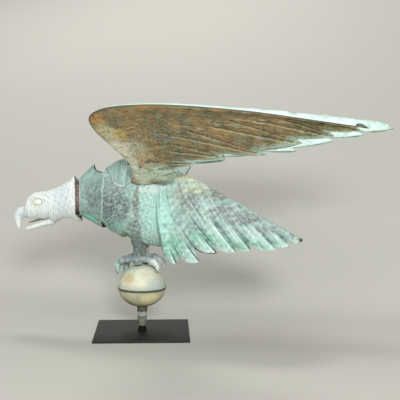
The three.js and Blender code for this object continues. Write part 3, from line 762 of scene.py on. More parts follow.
# ---- The tube and the ball ------------------------------------------------------------------------
def rounded_sleeve(name, inner, outer, bottom, top, edge=0.4, unevenness=0.0, rows=12):
    """A turned sleeve with eased edges."""
    heights = np.linspace(bottom + edge, top - edge, rows)
    wall = [[outer, z] for z in heights]
    profile = [[inner, bottom], [outer - edge, bottom], *wall, [outer - edge, top], [inner, top]]
    return turned(name, profile, unevenness=unevenness, seed=len(name))


def tube_pieces(tube, band, neck):
    bore = TUBE_RADIUS + GAP
    pieces = [
        ("mounting_tube", TUBE_BORE, TUBE_RADIUS, "tube_patina", tube),
        ("tube_ring", bore, bore + 0.9, "tube_patina", tube),
        ("tube_band", bore, bore + 0.6, "orb_cream_patina", band),
        ("orb_neck", bore, bore + 1.6, "tube_patina", neck),
    ]
    for node, inner, outer, slot, material in pieces:
        bottom, top = heights(node)
        edge = min(0.4, (top - bottom) / 4)
        rough = 0.0 if node == "mounting_tube" else 0.12
        piece = rounded_sleeve("worn_" + node, inner, outer, bottom, top, edge, rough)
        place(piece, node, "vane", slot, material)


def ball_arc(radius, depth, direction, start, steps=40):
    """Points of an elliptical arc from the widest circle to the hole round the tube."""
    end = math.acos((TUBE_RADIUS + GAP) / radius)
    angle = np.linspace(start, end, steps)
    return np.stack([radius * np.cos(angle), BALL_CENTRE + direction * depth * np.sin(angle)], axis=-1)


def ball(top_material, bottom_material):
    """Two spun halves: the upper one flares to a rolled rim that laps over the lower one."""
    flare = 1.5
    outer = ball_arc(BALL_RADIUS, BALL_RADIUS, 1, 0.03)
    height = outer[:, 1] - BALL_CENTRE
    outer[:, 0] += flare * (1 - smooth(height, 3.0, 11.0)) - 0.5 * bell(height, 12.0, 3.0)
    inner = ball_arc(BALL_RADIUS - COPPER, BALL_RADIUS - COPPER, 1, 0.03)[::-1]
    roll = [
        [BALL_RADIUS - COPPER, BALL_CENTRE + 0.2],
        [BALL_RADIUS + flare - 1.0, BALL_CENTRE - 0.3],
        [BALL_RADIUS + flare - 0.2, BALL_CENTRE + 0.1],
        [BALL_RADIUS + flare, BALL_CENTRE + 0.9],
    ]
    upper = turned("ball_upper", [*roll, *outer, *inner], unevenness=0.5, seed=11)
    place(upper, "orb_upper", "vane", "orb_cream_patina", top_material)
    radius = BALL_RADIUS - COPPER - GAP
    outer = ball_arc(radius, LOWER_DEPTH, -1, 0.0)
    inner = ball_arc(radius - COPPER, LOWER_DEPTH - COPPER, -1, 0.0)[::-1]
    lip = BALL_CENTRE + SEAM_OVERLAP - 0.4
    profile = [[radius - COPPER, lip], [radius, lip], *outer, *inner]
    lower = turned("ball_lower", profile, unevenness=0.3, seed=14)
    place(lower, "orb_lower", "vane", "orb_olive_patina", bottom_material)


def foot_disc(material):
    """The small dished disc between the feet."""
    bottom, top = heights("foot_plate")
    hole = TUBE_RADIUS + GAP
    rim = [[15.2, bottom], [16, bottom + 0.7], [15.8, bottom + 1.5]]
    profile = [[hole, bottom], *rim, [13.5, top - 0.3], [hole, top]]
    piece = turned("ball_disc", profile, unevenness=0.15, seed=5)
    place(piece, "foot_plate", "vane", "dark_patina", material)


# ---- The body -------------------------------------------------------------------------------------
# Stations along the body: x, height of the back, height of the belly, half width.
STATIONS = np.array(
    [
        [NECK_FRONT, 382, 293, 39],
        [-130, 392, 278, 47],
        [-95, 403, 264, 54],
        [-50, 417, 244, 58],
        [0, 423, 226, 59],
        [BODY_END, 414, 218, 56],
    ],
    float,
)


def body_surface(x, angle, proud=0.0):
    """Points on the body. Angle 0 is the back and a half turn is the belly."""
    back, belly, half = (curve_at(STATIONS[:, [0, column]], x) for column in (1, 2, 3))
    middle = (back + belly) / 2
    height = (back - belly) / 2 + proud
    return np.stack([x, (half + proud) * np.sin(angle), middle + height * np.cos(angle)], axis=-1)


def body_half(name, side, material):
    """One stamped half of the body: a pointed breast feather, worn small feathers and long flank streaks."""
    rows, columns = 190, 140
    x = np.linspace(BODY_FRONT, BODY_END - GAP, rows)[:, None] + np.zeros(columns)
    angle = np.linspace(0, math.pi, columns)[None, :] + np.zeros((rows, 1))
    base = body_surface(x, angle)
    below = smooth(-np.cos(angle), 0.7, 0.97)
    breast = np.clip((x + 104) / 60, 0, 1) * (1 - smooth(x, -46, -40))
    base[..., 2] += below * (6 * bell(x, -33, 9) + 5 * bell(x, -96, 11) - 4 * breast)
    base[..., 1] = np.maximum(base[..., 1], GAP / 2)
    lean = 26 * np.sin(angle) + 5 * dents(base, 40, 6)
    feathers = shingles((x + lean) / 26, angle * 3.1 / math.pi * 2 + 0.12 * dents(base, 50, 7), lobe=0.7)
    worn = 0.25 + 0.75 * smooth(dents(base, 46, 8), -0.6, 0.7)
    amount = 0.15 * worn * smooth(x, -110, -80) * smooth(angle, 0.15, 0.5) * (1 - smooth(x, -6, 8))
    streaks = np.sin((x + 5 * dents(base, 34, 9)) * 2 * math.pi / 13) * smooth(x, 2, 14)
    relief = amount * feathers + 0.45 * streaks * smooth(angle, 0.5, 0.8)
    relief += 0.7 * dents(base, 30, 3) + 0.3 * dents(base, 12, 4)
    relief *= smooth(np.sin(angle), 0.02, 0.12) * smooth(x, BODY_FRONT, BODY_FRONT + 6)
    relief *= 1 - smooth(x, BODY_END - 14, BODY_END - 3)
    fields = wear(relief, 0.45)
    fields["lane"] = x * MM
    fields["length"] = angle * MM
    fields["fibred"] = 0.25 * smooth(x, 6, 24)
    piece = sheet("feathered_body_" + name, base, relief, COPPER, fields, side)
    place(piece, "body_" + name, "vane", "verdigris", material)


# The collar's back edge: degrees from the back of the neck round to the breast, and x.
COLLAR_EDGE = [
    [0, -129],
    [9, -126],
    [17, -106],
    [34, -84],
    [60, -80],
    [105, -80],
    [122, -86],
    [138, -96],
    [160, -98],
    [180, -104],
]


def neck_collar(material):
    """The stamped collar: a crest point above, a long plain feather on each side and one under the throat."""
    around, rows = 480, 60
    angle = full_turn(around)[None, :]
    turn = np.minimum(angle, 2 * math.pi - angle)
    degrees, edge_x = np.transpose(COLLAR_EDGE)
    back = np.interp(np.degrees(turn), degrees, edge_x)
    back += 0.8 * np.sin(13 * turn) + 0.5 * np.sin(29 * turn + 1)
    front = NECK_FRONT - 3 + NECK_SWEEP * np.abs(np.sin(angle)) + 0.6 * np.sin(17 * turn)
    t = np.linspace(0, 1, rows)[:, None]
    x = front + (back - front) * t
    surface = body_surface(np.maximum(x, NECK_FRONT), angle + 0 * t, 2 * COPPER)
    surface[..., 0] = x
    surface[..., 2] += 26 * bell(turn, 0, 0.17) * t
    surface[..., 2] -= 4 * bell(turn, math.pi, 0.5) * smooth(t, 0.3, 0.9)
    past_throat = smooth(turn, math.radians(126), math.radians(140))
    plain = smooth(turn, math.radians(36), math.radians(60)) * (1 - past_throat)
    quills = 0.35 * np.sin(turn * 38 + 2.5 * t) * (1 - 0.7 * plain)
    ridge = 1.6 * bell(turn, math.radians(21) - 0.2 * t, 0.06) * smooth(t, 0.05, 0.3)
    notch = -1.4 * bell(turn, math.radians(137) - 0.12 * (1 - t), 0.05) * smooth(t, 0.0, 0.5)
    rim = 0.9 * smooth(t, 0.88, 0.97)
    relief = rim + ridge + notch + quills * smooth(t, 0.1, 0.4)
    relief = relief + 0.6 * dents(surface, 24, 8) + 0.3 * dents(surface, 9, 9)
    centre = surface.mean(axis=1, keepdims=True)
    outward = surface - centre
    outward[..., 0] = 0
    outward /= np.linalg.norm(outward, axis=-1, keepdims=True)
    outer = surface + outward * (relief * smooth(t, 0, 0.06))[..., None]
    inner = surface - outward * COPPER
    rings = np.concatenate([outer, inner[::-1]], axis=0)
    fields = wear(relief, 0.5)
    edge = np.broadcast_to(np.maximum(smooth(t, 0.94, 1.0), 1 - smooth(t, 0.0, 0.05)), relief.shape)
    fields["crest"] = np.maximum(fields["crest"], 0.7 * edge)
    doubled = {key: np.concatenate([value, value[::-1]]) for key, value in fields.items()}
    doubled["inside"] = np.concatenate([np.zeros(relief.shape), np.ones(relief.shape)])
    piece = loft("feather_collar", rings, doubled, wrap=True)
    place(piece, "neck_collar", "vane", "verdigris", material)


# ---- The tail and flank feathers ------------------------------------------------------------------
RIDGE = [[BODY_END, 414], [110, 402], [182, 368], [284, 315], [403, 252]]

# From each notch to the next feather's tip: [x, y, z, x on the ridge where its line starts, openness]
TAIL_EDGE = [
    [BODY_END, 2, 218, BODY_END, 0],
    [88, 56, 204, 61, 0.5],
    [112, 62, 188, 62, 0.75],
    [119, 60, 209, 63, 0.8],
    [148, 67, 204, 66, 0.9],
    [174, 72, 197, 70, 1],
    [158, 69, 238, 73, 1],
    [190, 76, 231, 80, 1],
    [218, 82, 224, 86, 1],
    [212, 79, 241, 94, 1],
    [268, 88, 228, 116, 1],
    [262, 85, 242, 128, 1],
    [304, 90, 234, 158, 1],
    [300, 87, 245, 172, 1],
    [362, 80, 236, 230, 1],
    [354, 76, 246, 250, 1],
    [384, 54, 241, 310, 1],
    [380, 44, 250, 330, 1],
    [403, 8, 249, 401, 1],
]
TAIL_TIPS = [2, 5, 8, 10, 12, 14, 16, 18]  # places in TAIL_EDGE of the feather tips


def tail_rows(steps=16):
    """Rows down the tail: the edge values, the feather's number and the place across it, from 0 to 1."""
    edge = np.array(TAIL_EDGE, float)
    values, feather, across = [], [], []
    start = 0
    for number, tip in enumerate(TAIL_TIPS):
        stretch = edge[start : tip + 1]
        for f in np.linspace(0, 1, steps):
            place_on = f * (len(stretch) - 1)
            i = min(int(place_on), len(stretch) - 2)
            row = stretch[i] + (stretch[i + 1] - stretch[i]) * (place_on - i)
            row = row + np.array([-1.5, 0, -7.0, 0, 0]) * math.sin(math.pi * f) * (number > 0)
            values.append(row)
            feather.append(number)
            across.append(f)
        if number < len(TAIL_TIPS) - 1:
            for f in (0.08, 0.35, 0.7):
                values.append(edge[tip] + (edge[tip + 1] - edge[tip]) * f)
                feather.append(number + 1)
                across.append(-0.01)
        start = tip + 1
    return np.array(values), np.array(feather), np.array(across)


def tail_half(name, side, material):
    """One half of the tail: long feathers that overlap from the flank backwards, each a rounded channel."""
    values, feather, across = tail_rows()
    columns = 90
    t = np.linspace(0, 1, columns)[None, :]
    x, y, z, ridge_x, opened = (values[:, k][:, None] for k in range(5))
    top_x = ridge_x + GAP
    top_z = curve_at(RIDGE, ridge_x)
    bulge = 58 * (1 - opened) + 12 * opened
    fall = (1 - np.cos(math.pi * t)) / 2
    down = fall + (t - fall) * opened
    hanging = (1 - smooth(feather + np.maximum(across, 0), 1.5, 4.5))[:, None]
    base = np.stack(
        [
            top_x + (x + GAP - top_x) * down ** (1 + 1.1 * hanging),
            np.maximum(bulge * np.sin(math.pi * t) + y * t**0.8, GAP / 2),
            top_z + (z - top_z) * down,
        ],
        axis=-1,
    )
    f = np.maximum(across, 0)[:, None] + 0 * t
    number = feather[:, None] + 0 * t
    start = np.where(number < 3, 0.74, 0.62 - 0.03 * number)
    shown = smooth(t + 0 * f, start, start + 0.2)
    rounded = np.sin(math.pi * np.clip(f, 0, 1)) ** 0.6
    channel = 4.2 * rounded + 3.4 * f
    channel = np.where(across[:, None] < 0, 0, channel) * shown
    covert_count = number + f + 0.2 * dents(base, 40, 23)
    coverts = shingles((t - 0.08) * 6 + 0.25 * dents(base, 36, 24), covert_count * 1.1, lobe=0.7)
    worn = smooth(dents(base, 40, 25), -0.5, 0.8)
    fade = smooth(t, 0.2, 0.35) * (1 - smooth(t, 0.5, 0.75)) * smooth(number + f, 2.2, 3.4)
    relief = channel + 0.3 * coverts * fade * worn + 0.5 * bell(f, 0.55, 0.05) * shown
    relief += 0.5 * dents(base, 26, 21) + 0.25 * dents(base, 10, 26)
    relief *= (smooth(t, 0.0, 0.05) + 0 * f) * smooth(base[..., 0], BODY_END, BODY_END + 12)
    edge = smooth(t, 0.9, 1.0) + 0 * f
    fields = wear(relief, 0.6)
    on_feather = shown * (across[:, None] >= 0) * smooth(number + f, 1.0, 3.0)
    # Painted shade along the edge of each feather next to its notch, under the feather before it, and a painted
    # highlight across its raised middle towards its tip.
    shade_under_overlap = 0.55 * (1 - smooth(f, 0.0, 0.4)) * on_feather * (1 - smooth(t, 0.9, 1.0))
    fields["groove"] = np.maximum(fields["groove"], shade_under_overlap)
    fields["crest"] = np.maximum(fields["crest"], 0.4 * smooth(f, 0.5, 0.8) * on_feather)
    fields["crest"] = np.maximum(fields["crest"], 0.5 * edge * (across[:, None] >= 0))
    fields["lane"] = (number + f) * 22 * MM
    fields["length"] = t * 8 * MM + 0 * f
    fields["fibred"] = 0.25 + 0.5 * smooth(number + f, 2.0, 4.0)
    piece = sheet("feathered_tail_" + name, base, relief, COPPER, fields, side)
    place(piece, "tail_" + name, "vane", "verdigris", material)


# ---- Legs and feet --------------------------------------------------------------------------------
def leg(name, side, material):
    """A leg covered in short hanging feathers, wider where it meets the body."""
    rings = [[203.3, -2, 11], [218, -1, 12], [232, -3, 15], [262, -4, 17]]
    rows, around = 90, 64
    t = np.linspace(0, 1, rows)
    z, x, radius = (spline(rings, t)[:, k][:, None] for k in range(3))
    angle = full_turn(around)[None, :]
    feathers = shingles((262 - z) / 9 + 0 * angle, 5 * angle / math.pi + 0 * z, lobe=0.6)
    size = radius + 0.9 * feathers - 0.4
    points = np.stack(
        [x + size * np.cos(angle), side * LEG_SPREAD + 0.75 * size * np.sin(angle), z + 0 * angle], axis=-1
    )
    piece = loft("feathered_leg_" + name, points)
    place(piece, "leg_" + name, "vane", "dark_patina", material)


# The toes from the foot's own middle plane: points [x, out, z] and the radius at each point.
SIDE_TOE = [8, 7, 6.5, 4.5, 0.8]
TOES = [
    ([[-4, 0, 188], [-34, -1, 187], [-56, -1, 180], [-60, -1, 164], [-57, -1, 148]], [9, 8, 7, 5, 0.8]),
    ([[-2, 3, 188], [-26, 9, 187], [-47, 11, 180], [-52, 12, 166], [-49, 12, 150]], SIDE_TOE),
    ([[-2, -3, 188], [-26, -9, 187], [-46, -12, 180], [-51, -12, 166], [-48, -12, 151]], SIDE_TOE),
    ([[4, 0, 188], [26, -1, 189], [42, -1, 182], [50, -1, 171], [48, -1, 157]], [9, 8, 8, 6, 0.8]),
]
CLAW_START = 0.68  # share of a toe's length where its claw begins


def tube_rings(path, radius, around=28):
    """Rings round a path, with a radius for each of its points."""
    along = np.gradient(path, axis=0)
    along /= np.linalg.norm(along, axis=1, keepdims=True)
    across = np.cross([0, 1, 0], along)
    across /= np.linalg.norm(across, axis=1, keepdims=True)
    up = np.cross(along, across)
    angle = full_turn(around)
    spread = across[:, None] * np.cos(angle)[None, :, None] + up[:, None] * np.sin(angle)[None, :, None]
    return path[:, None] + spread * radius[:, None, None]


def remeshed(pieces, name, voxel):
    """The pieces joined into one skin."""
    for piece in pieces:
        piece.select_set(True)
    bpy.context.view_layer.objects.active = pieces[0]
    bpy.ops.object.join()
    joined = pieces[0]
    joined.name = name
    joined.data.name = name
    modifier = joined.modifiers.new("skin", "REMESH")
    modifier.mode = "VOXEL"
    modifier.voxel_size = voxel * MM
    soften = joined.modifiers.new("soften", "SMOOTH")
    soften.iterations = 2
    for step in (modifier.name, soften.name):
        bpy.ops.object.modifier_apply(modifier=step)
    joined.data.shade_smooth()
    joined.select_set(False)
    return joined


def foot(name, side, material):
    """A cast foot: knuckled toes with scale rings and smooth claws, gripping the ball."""
    y = side * LEG_SPREAD
    bpy.ops.object.select_all(action="DESELECT")
    parts = []
    for number, (points, radii) in enumerate(TOES):
        points = np.array(points, float)
        points[:, 1] = y + side * points[:, 1]
        t = np.linspace(0, 1, 60)
        path = spline(points, t)
        radius = np.interp(t * (len(radii) - 1), np.arange(len(radii)), radii)
        knuckles = 0.10 * np.cos(2 * math.pi * (t / CLAW_START) * 3)
        scales = 0.035 * np.abs(np.sin(math.pi * 16 * t))
        toe = t < CLAW_START
        radius = radius * np.where(toe, 0.96 + knuckles + scales, 0.92)
        parts.append(loft(f"toe_{number}", tube_rings(path, np.maximum(radius, 0.8))))
    height = np.linspace(176, 203, 16)
    shank = np.stack([-2 + 0 * height, y + 0 * height, height], axis=-1)
    pad = 11.5 - 1.2 * smooth(height, 184, 196)
    rings = tube_rings(shank, pad)
    rings[..., 1] = y + (rings[..., 1] - y) * 0.85
    parts.append(loft("shank", rings))
    piece = remeshed(parts, "cast_foot_" + name, 0.9)
    place(piece, "foot_" + name, "vane", "dark_patina", material)


# ---- The head -------------------------------------------------------------------------------------
# Rings from the beak's tip to the collar: x, z, lean of the ring in degrees, half height, half width, and
# how much further back the ring is at its sides.
HEAD_RINGS = [
    [-344, 249, 95, 1.5, 1.2, 0],
    [-346, 262, 86, 6, 4.5, 0],
    [-346.5, 278, 68, 11.5, 9, 0],
    [-338, 290, 38, 14, 12, 0],
    [-324, 293, 12, 15.5, 15, 0],
    [-316, 296.5, 8, 20, 19, 0],
    [-311, 304, 4, 28, 23, 0],
    [-296, 310.5, 0, 33.5, 27, 0],
    [-262, 314, 0, 36, 32, 0],
    [-230, 320, 0, 40, 35, 0],
    [-207, 327, 0, 45, 37, 6],
    [-184, 333, 0, 47, 40, NECK_SWEEP],
]
THROAT_RING = 8
LAST_RING = len(HEAD_RINGS) - 1
ZINC = 4
EYE = (-274, 323.5)  # x and z of the eye's centre
EYE_SIZE = (13, 7.5)


def head_rings(start, end, rows, wall, around=180):
    """Rings of the casting, with the angle round from the crown and the station between HEAD_RINGS."""
    station = np.linspace(start, end, rows)[:, None]
    x, z, lean, height, width, sweep = (
        spline(HEAD_RINGS, station[:, 0] / LAST_RING)[:, k][:, None] for k in range(6)
    )
    tilt = np.radians(lean)
    angle = full_turn(around)[None, :]
    high = np.maximum(height - wall, 0.6) * np.cos(angle)
    wide = np.maximum(width - wall, 0.6) * np.sin(angle)
    back = np.maximum(sweep, 0) * np.abs(np.sin(angle))
    return np.stack([x - np.sin(tilt) * high + back, wide, z + np.cos(tilt) * high], axis=-1), angle, station


def head_relief(points, angle):
    """Eyes, brows, the edge of the cere, the cheek tufts and the neck feathers, in millimetres."""
    x, z = points[..., 0], points[..., 2]
    flank = smooth(np.abs(np.sin(angle)), 0.35, 0.6)
    reach = np.hypot((x - EYE[0]) / EYE_SIZE[0], (z - EYE[1]) / EYE_SIZE[1])
    above = smooth(z, EYE[1] - 3, EYE[1] + 4)
    dome = 3.2 * np.sqrt(np.clip(1 - reach**2, 0, 1))
    lid = (-0.9 * bell(reach, 1.12, 0.14) + 1.4 * bell(reach, 1.4, 0.25)) * (0.3 + 0.7 * above)
    brow_line = EYE[1] + 14 - 0.006 * (x - EYE[0] + 6) ** 2
    brow = 2.6 * bell(z, brow_line, 4.5) * smooth(x, -308, -294) * (1 - smooth(x, -250, -236))
    socket = -1.6 * bell(x, -298, 5) * bell(z, EYE[1] - 1, 9)
    cere = 1.6 * bell(x, -304 + 0.2 * (z - 290), 2.6) * (1 - smooth(z, 302, 312)) * smooth(z, 272, 280)
    nostril = -1.6 * bell(x, -318, 4.5) * bell(z, 296, 2.2)
    hatch = 0.5 + 0.5 * np.sin((x - 0.35 * (z - 290)) * 2 * math.pi / 5.2)
    tuft_place = bell(x, -236, 12) * smooth(-z, -308, -294)
    tuft = tuft_place * (1.2 + 2.4 * hatch)
    lines = np.sin(angle * 30 + 2.5 * dents(points, 30, 33)) * smooth(x, -262, -230)
    feathers = shingles((x + 262) / 20, angle * 7 / math.pi, lobe=0.8) * smooth(x, -250, -215)
    flow = 0.35 * feathers + 0.1 * lines
    face = flank * (dome + lid + brow + socket + cere + nostril)
    return face + tuft + flow + 0.35 * dents(points, 14, 31)


def head_casting(material):
    """The hollow zinc head: its outside from the beak's tip to the neck, and its inside up to the throat."""
    outer, angle, station = head_rings(0, LAST_RING, 260, 0)
    relief = head_relief(outer, angle + 0 * outer[..., 0])
    relief *= smooth(station, 0.5, 3.2)
    raised = outer + relief[..., None] * -grid_normals(outer) * outward_sign(outer)
    below = smooth(-np.cos(angle), 0.45, 0.9)
    raised[..., 2] -= 8 * bell(outer[..., 0], -236, 10) * below
    inner, _, inner_station = head_rings(LAST_RING, THROAT_RING, 24, ZINC)
    shape_rim(raised, angle, station)
    shape_rim(inner, angle, inner_station)
    rings = np.concatenate([raised, inner], axis=0)
    fields = wear(relief, 0.5, 6)
    eye = np.hypot((outer[..., 0] - EYE[0]) / EYE_SIZE[0], (outer[..., 2] - EYE[1]) / EYE_SIZE[1]) < 1
    fields["eye"] = eye * (np.abs(np.sin(angle)) > 0.4)
    for key in fields:
        fields[key] = np.concatenate([fields[key], np.zeros(inner.shape[:2])])
    fields["inside"] = np.concatenate([np.zeros(outer.shape[:2]), np.ones(inner.shape[:2])])
    piece = loft("zinc_head", rings, fields)
    place(piece, "head_casting", "vane", "white_zinc", material)


def outward_sign(grid):
    """1 or -1, so that grid_normals points towards the grid's own middle when multiplied by it."""
    normal = grid_normals(grid)
    centre = grid.mean(axis=1, keepdims=True)
    return 1 if np.sum(normal * (centre - grid)) > 0 else -1


def shape_rim(rings, angle, station):
    """Draws the back edge of the casting out into a crest point, a ruff point and small feather points."""
    t = smooth(station, LAST_RING - 1, LAST_RING)
    turn = np.minimum(angle, 2 * math.pi - angle)
    crest = bell(turn, 0, 0.32) * t
    ruff = bell(turn, math.pi, 0.42) * t
    rings[..., 2] += 13 * crest**1.5 - 12 * ruff**1.3
    rings[..., 0] += 20 * ruff**1.5 + 1.2 * t**3 * (1 - ruff) * np.abs(np.cos(9 * angle))


def lower_beak(material):
    rows_table = [
        [-236, 276, 9, 13],
        [-246, 272, 10.5, 17],
        [-266, 266.5, 9, 15],
        [-292, 259, 7.5, 10.5],
        [-312, 252.5, 6.5, 7.5],
        [-321, 250, 4.5, 5],
    ]
    t = np.linspace(0, 1, 90)
    x, z, high, wide = (spline(rows_table, t)[:, k][:, None] for k in range(4))
    angle = full_turn(72)[None, :]
    up = np.cos(angle)
    trough = np.where(up > 0, 1 - 0.45 * bell(angle % (2 * math.pi), 0, 0.5), 1)
    hatch = np.sin((x + 0.4 * z) * 2 * math.pi / 5.5) * (1 - smooth(-x, 255, 280))
    swell = 1 + 0.05 * hatch * np.abs(np.sin(angle))
    points = np.stack([x + 0 * angle, wide * swell * np.sin(angle), z + high * swell * up * trough], axis=-1)
    zero = np.zeros(points.shape[:2])
    groove = np.maximum(0, -hatch) * 0.5 + zero
    crest = np.maximum(0, hatch) * 0.4 + zero
    fields = {"groove": groove, "crest": crest, "inside": zero}
    piece = loft("zinc_lower_beak", points, fields)
    place(piece, "lower_beak", "vane", "white_zinc", material)


def tongue(material):
    path = spline([[-262, 0, 280], [-280, 0, 276], [-298, 0, 271], [-315, 0, 266]], np.linspace(0, 1, 40))
    radius = np.interp(np.linspace(0, 3, 40), range(4), [3, 2.6, 2.4, 1])
    rings = tube_rings(path, radius)
    rings[..., 1] *= 1.25
    piece = loft("zinc_tongue", rings)
    place(piece, "tongue", "vane", "white_zinc", material)


# ---- The wings ------------------------------------------------------------------------------------
# The wing is drawn flat as [x, distance out from the root], then lifted.
LEADING_EDGE = [
    [-8, 0],
    [8, 38],
    [14, 90],
    [-6, 160],
    [-23, 215],
    [-21, 262],
    [16, 294],
    [80, 309],
    [190, 310],
    [350, 288],
    [480, 257],
    [572, 234],
]
# Feather tips on the trailing edge: [x, distance out, share of the leading edge where its line starts].
FEATHER_TIPS = [
    [132, 54, 0.06],
    [180, 86, 0.15],
    [263, 115, 0.26],
    [356, 127, 0.37],
    [443, 174, 0.53],
    [516, 201, 0.72],
    [588, 228, 0.99],
]
SHORT_TIP = [97, 56, 0.06]  # the right wing's first feather, which is shorter than the left wing's
NOTCH = [-14, 16, 0.02]  # from each tip back to the notch behind it
EDGE_HALF = COPPER + GAP / 2
WING_RISE = 6
WING_ARCH = 12


def leading_edge(share):
    dense = spline(LEADING_EDGE, np.linspace(0, 1, 600))
    steps = np.linalg.norm(np.diff(dense, axis=0), axis=1)
    travelled = np.concatenate([[0], np.cumsum(steps)]) / steps.sum()
    return np.stack([np.interp(share, travelled, dense[:, k]) for k in range(2)], axis=-1)


def wing_rows(side, steps=20):
    """Rows of the wing: trailing edge, share of the leading edge, feather and place across the feather."""
    corners = [np.array([92, 2, 0.0])]
    tips = [SHORT_TIP, *FEATHER_TIPS[1:]] if side == RIGHT else FEATHER_TIPS
    for tip in tips:
        corners.append(np.array(tip, float))
        corners.append(np.array(tip, float) + NOTCH)
    rows, feather, across = [], [], []
    for number in range(len(FEATHER_TIPS)):
        start, end = corners[2 * number], corners[2 * number + 1]
        bow = np.array([0.35, -0.94, 0]) * min(5.0, 0.05 * np.linalg.norm(end[:2] - start[:2]))
        for f in np.linspace(0, 1, steps):
            rows.append(start + (end - start) * f + bow * math.sin(math.pi * f) ** 0.8)
            feather.append(number)
            across.append(f)
        if number < len(FEATHER_TIPS) - 1:
            for f in (0.07, 0.3, 0.65):
                rows.append(end + (corners[2 * number + 2] - end) * f)
                feather.append(number + 1)
                across.append(-0.01)
    return np.array(rows), np.array(feather), np.array(across)


def covert_tier(span, chord, count, reach, lobe, height):
    """A row of short feathers over the long ones, with points along its lower edge."""
    q = (span * count) % 1
    tip = reach + lobe * q**0.8
    local = np.clip(chord / tip, 0, 1)
    scale = height * local**2 * (0.55 + 0.45 * q)
    quill = 0.25 * height * bell(q, 0.55, 0.06)
    return np.where(chord < tip, scale + quill, 0)


def wing_relief(span, chord, f, notch, uneven):
    """Long feathers that overlap towards the tip, under two rows of short ones with ragged edges."""
    start = np.clip(0.70 - 0.05 * span, 0.34, 0.70)
    long = smooth(chord, start, start + 0.16) * np.where(notch, 0, 0.4 + 3.0 * f)
    quill = 0.9 * bell(f, 0.5, 0.035) * smooth(chord, start + 0.1, start + 0.25) * np.where(notch, 0, 1)
    barbs = 0.12 * np.sin((f * 9 + chord * 10) * 2 * math.pi) * smooth(chord, start, start + 0.2)
    reach = chord + 0.025 * uneven
    middle = covert_tier(span + 0.1 * uneven, reach, 1.5, 0.44, 0.16, 1.6)
    front = covert_tier(span + 0.1 * uneven, reach, 2.6, 0.22, 0.10, 0.8)
    return long + quill + barbs + middle + front


def wing_skin(label, name, side, face, node, slot, material):
    """One stamped skin of a wing, embossed with long feathers under two rows of short ones."""
    rows, feather, across = wing_rows(side)
    columns = 110
    chord = (np.linspace(0, 1, columns) ** 1.15)[None, :]
    front = leading_edge(rows[:, 2])
    px = front[:, 0][:, None] + (rows[:, 0] - front[:, 0])[:, None] * chord
    py = front[:, 1][:, None] + (rows[:, 1] - front[:, 1])[:, None] * chord
    half = EDGE_HALF + WING_RISE * np.sin(math.pi * np.sqrt(chord)) ** 0.8
    reach = np.hypot(rows[:, 0] - front[:, 0], rows[:, 1] - front[:, 1])[:, None]
    arch = WING_ARCH * np.sin(math.pi * chord) * np.clip((py - 60) / 200, 0, 1) * smooth(reach, 10, 60)
    base = np.stack([px, py, arch + face * half], axis=-1)
    notch = (across < 0)[:, None]
    f = np.maximum(across, 0)[:, None] + 0 * chord
    span = feather[:, None] + f
    bent = span + 1.1 * (1 - chord)
    bow = 0.05 * np.sin(math.pi * np.clip((chord - 0.3) / 0.7, 0, 1))
    relief = wing_relief(bent, chord + bow * (1 - f), bent % 1, notch, dents(base, 30, 43))
    inner_zone = smooth(chord, 0.0, 0.05) * (1 - smooth(chord, 0.975, 1.0)) + 0 * f
    relief = relief * (0.35 + 0.65 * inner_zone) * smooth(chord, 0.0, 0.03)
    relief = relief + 0.5 * dents(base, 34, 41) * inner_zone + 0.25 * dents(base, 11, 42) * inner_zone
    fields = wear(relief, 0.55)
    fields["chord"] = chord + 0 * f
    outer = base.copy()
    outer[..., 2] += face * relief
    inner = base.copy()
    inner[..., 2] -= face * COPPER
    rings = np.concatenate([outer, inner[:, ::-1]], axis=1)
    piece = closed_sheet(f"{label}_{name}", lifted(rings, side), fields)
    place(piece, f"{node}_{name}", "vane", slot, material)


def lifted(points, side):
    """Wing points [x, out, height] turned up about the wing root and placed on the given side."""
    lift = LIFT[side]
    out, high = points[..., 1], points[..., 2]
    turned_out = out * math.cos(lift) - high * math.sin(lift)
    turned_up = out * math.sin(lift) + high * math.cos(lift)
    return np.stack([points[..., 0], side * (WING_ROOT_Y + turned_out), WING_ROOT_Z + turned_up], axis=-1)


SHOULDER_EDGES = [
    [[-94, 10, 409], [-90, 14, 407]],
    [[-79, 22, 418], [-74, 30, 401]],
    [[-61, 35, 426], [-64, 42, 390]],
    [[-36, 55, 435], [-46, 52, 376]],
    [[-15, 71, 439], [-34, 56, 371]],
    [[-7, 75, 430], [-22, 58, 372]],
]


def shoulder_cap(name, side, material):
    """The stamped leaf over the front of the wing root, with a turned edge."""
    edges = np.array(SHOULDER_EDGES, float)
    t = np.linspace(0, 1, 80)
    upper = spline(edges[:, 0], t)[:, None]
    lower = spline(edges[:, 1], t)[:, None]
    s = np.linspace(0, 1, 50)[None, :, None]
    base = upper + (lower - upper) * s
    along = t[:, None] + 0 * s[..., 0]
    across = s[..., 0] + 0 * along
    border = np.minimum(np.minimum(across, 1 - across) * 2, np.minimum(along, 1 - along) * 3)
    crumple = 0.8 * dents(base, 24, 51) + 0.4 * dents(base, 9, 52)
    relief = 2.0 * smooth(border, 0.0, 0.35) + crumple * smooth(border, 0, 0.2)
    fields = wear(relief, 0.6)
    # A painted highlight, laid into the crest field, along the lower half of the cap's border and its back end.
    highlit_border = np.maximum(smooth(across, 0.4, 0.8), smooth(along, 0.8, 0.95))
    fields["crest"] = np.maximum(fields["crest"], (1 - smooth(border, 0.03, 0.16)) * highlit_border)
    piece = sheet("stamped_cap_" + name, base, relief, COPPER, fields, side)
    place(piece, "shoulder_cap_" + name, "vane", "verdigris", material)


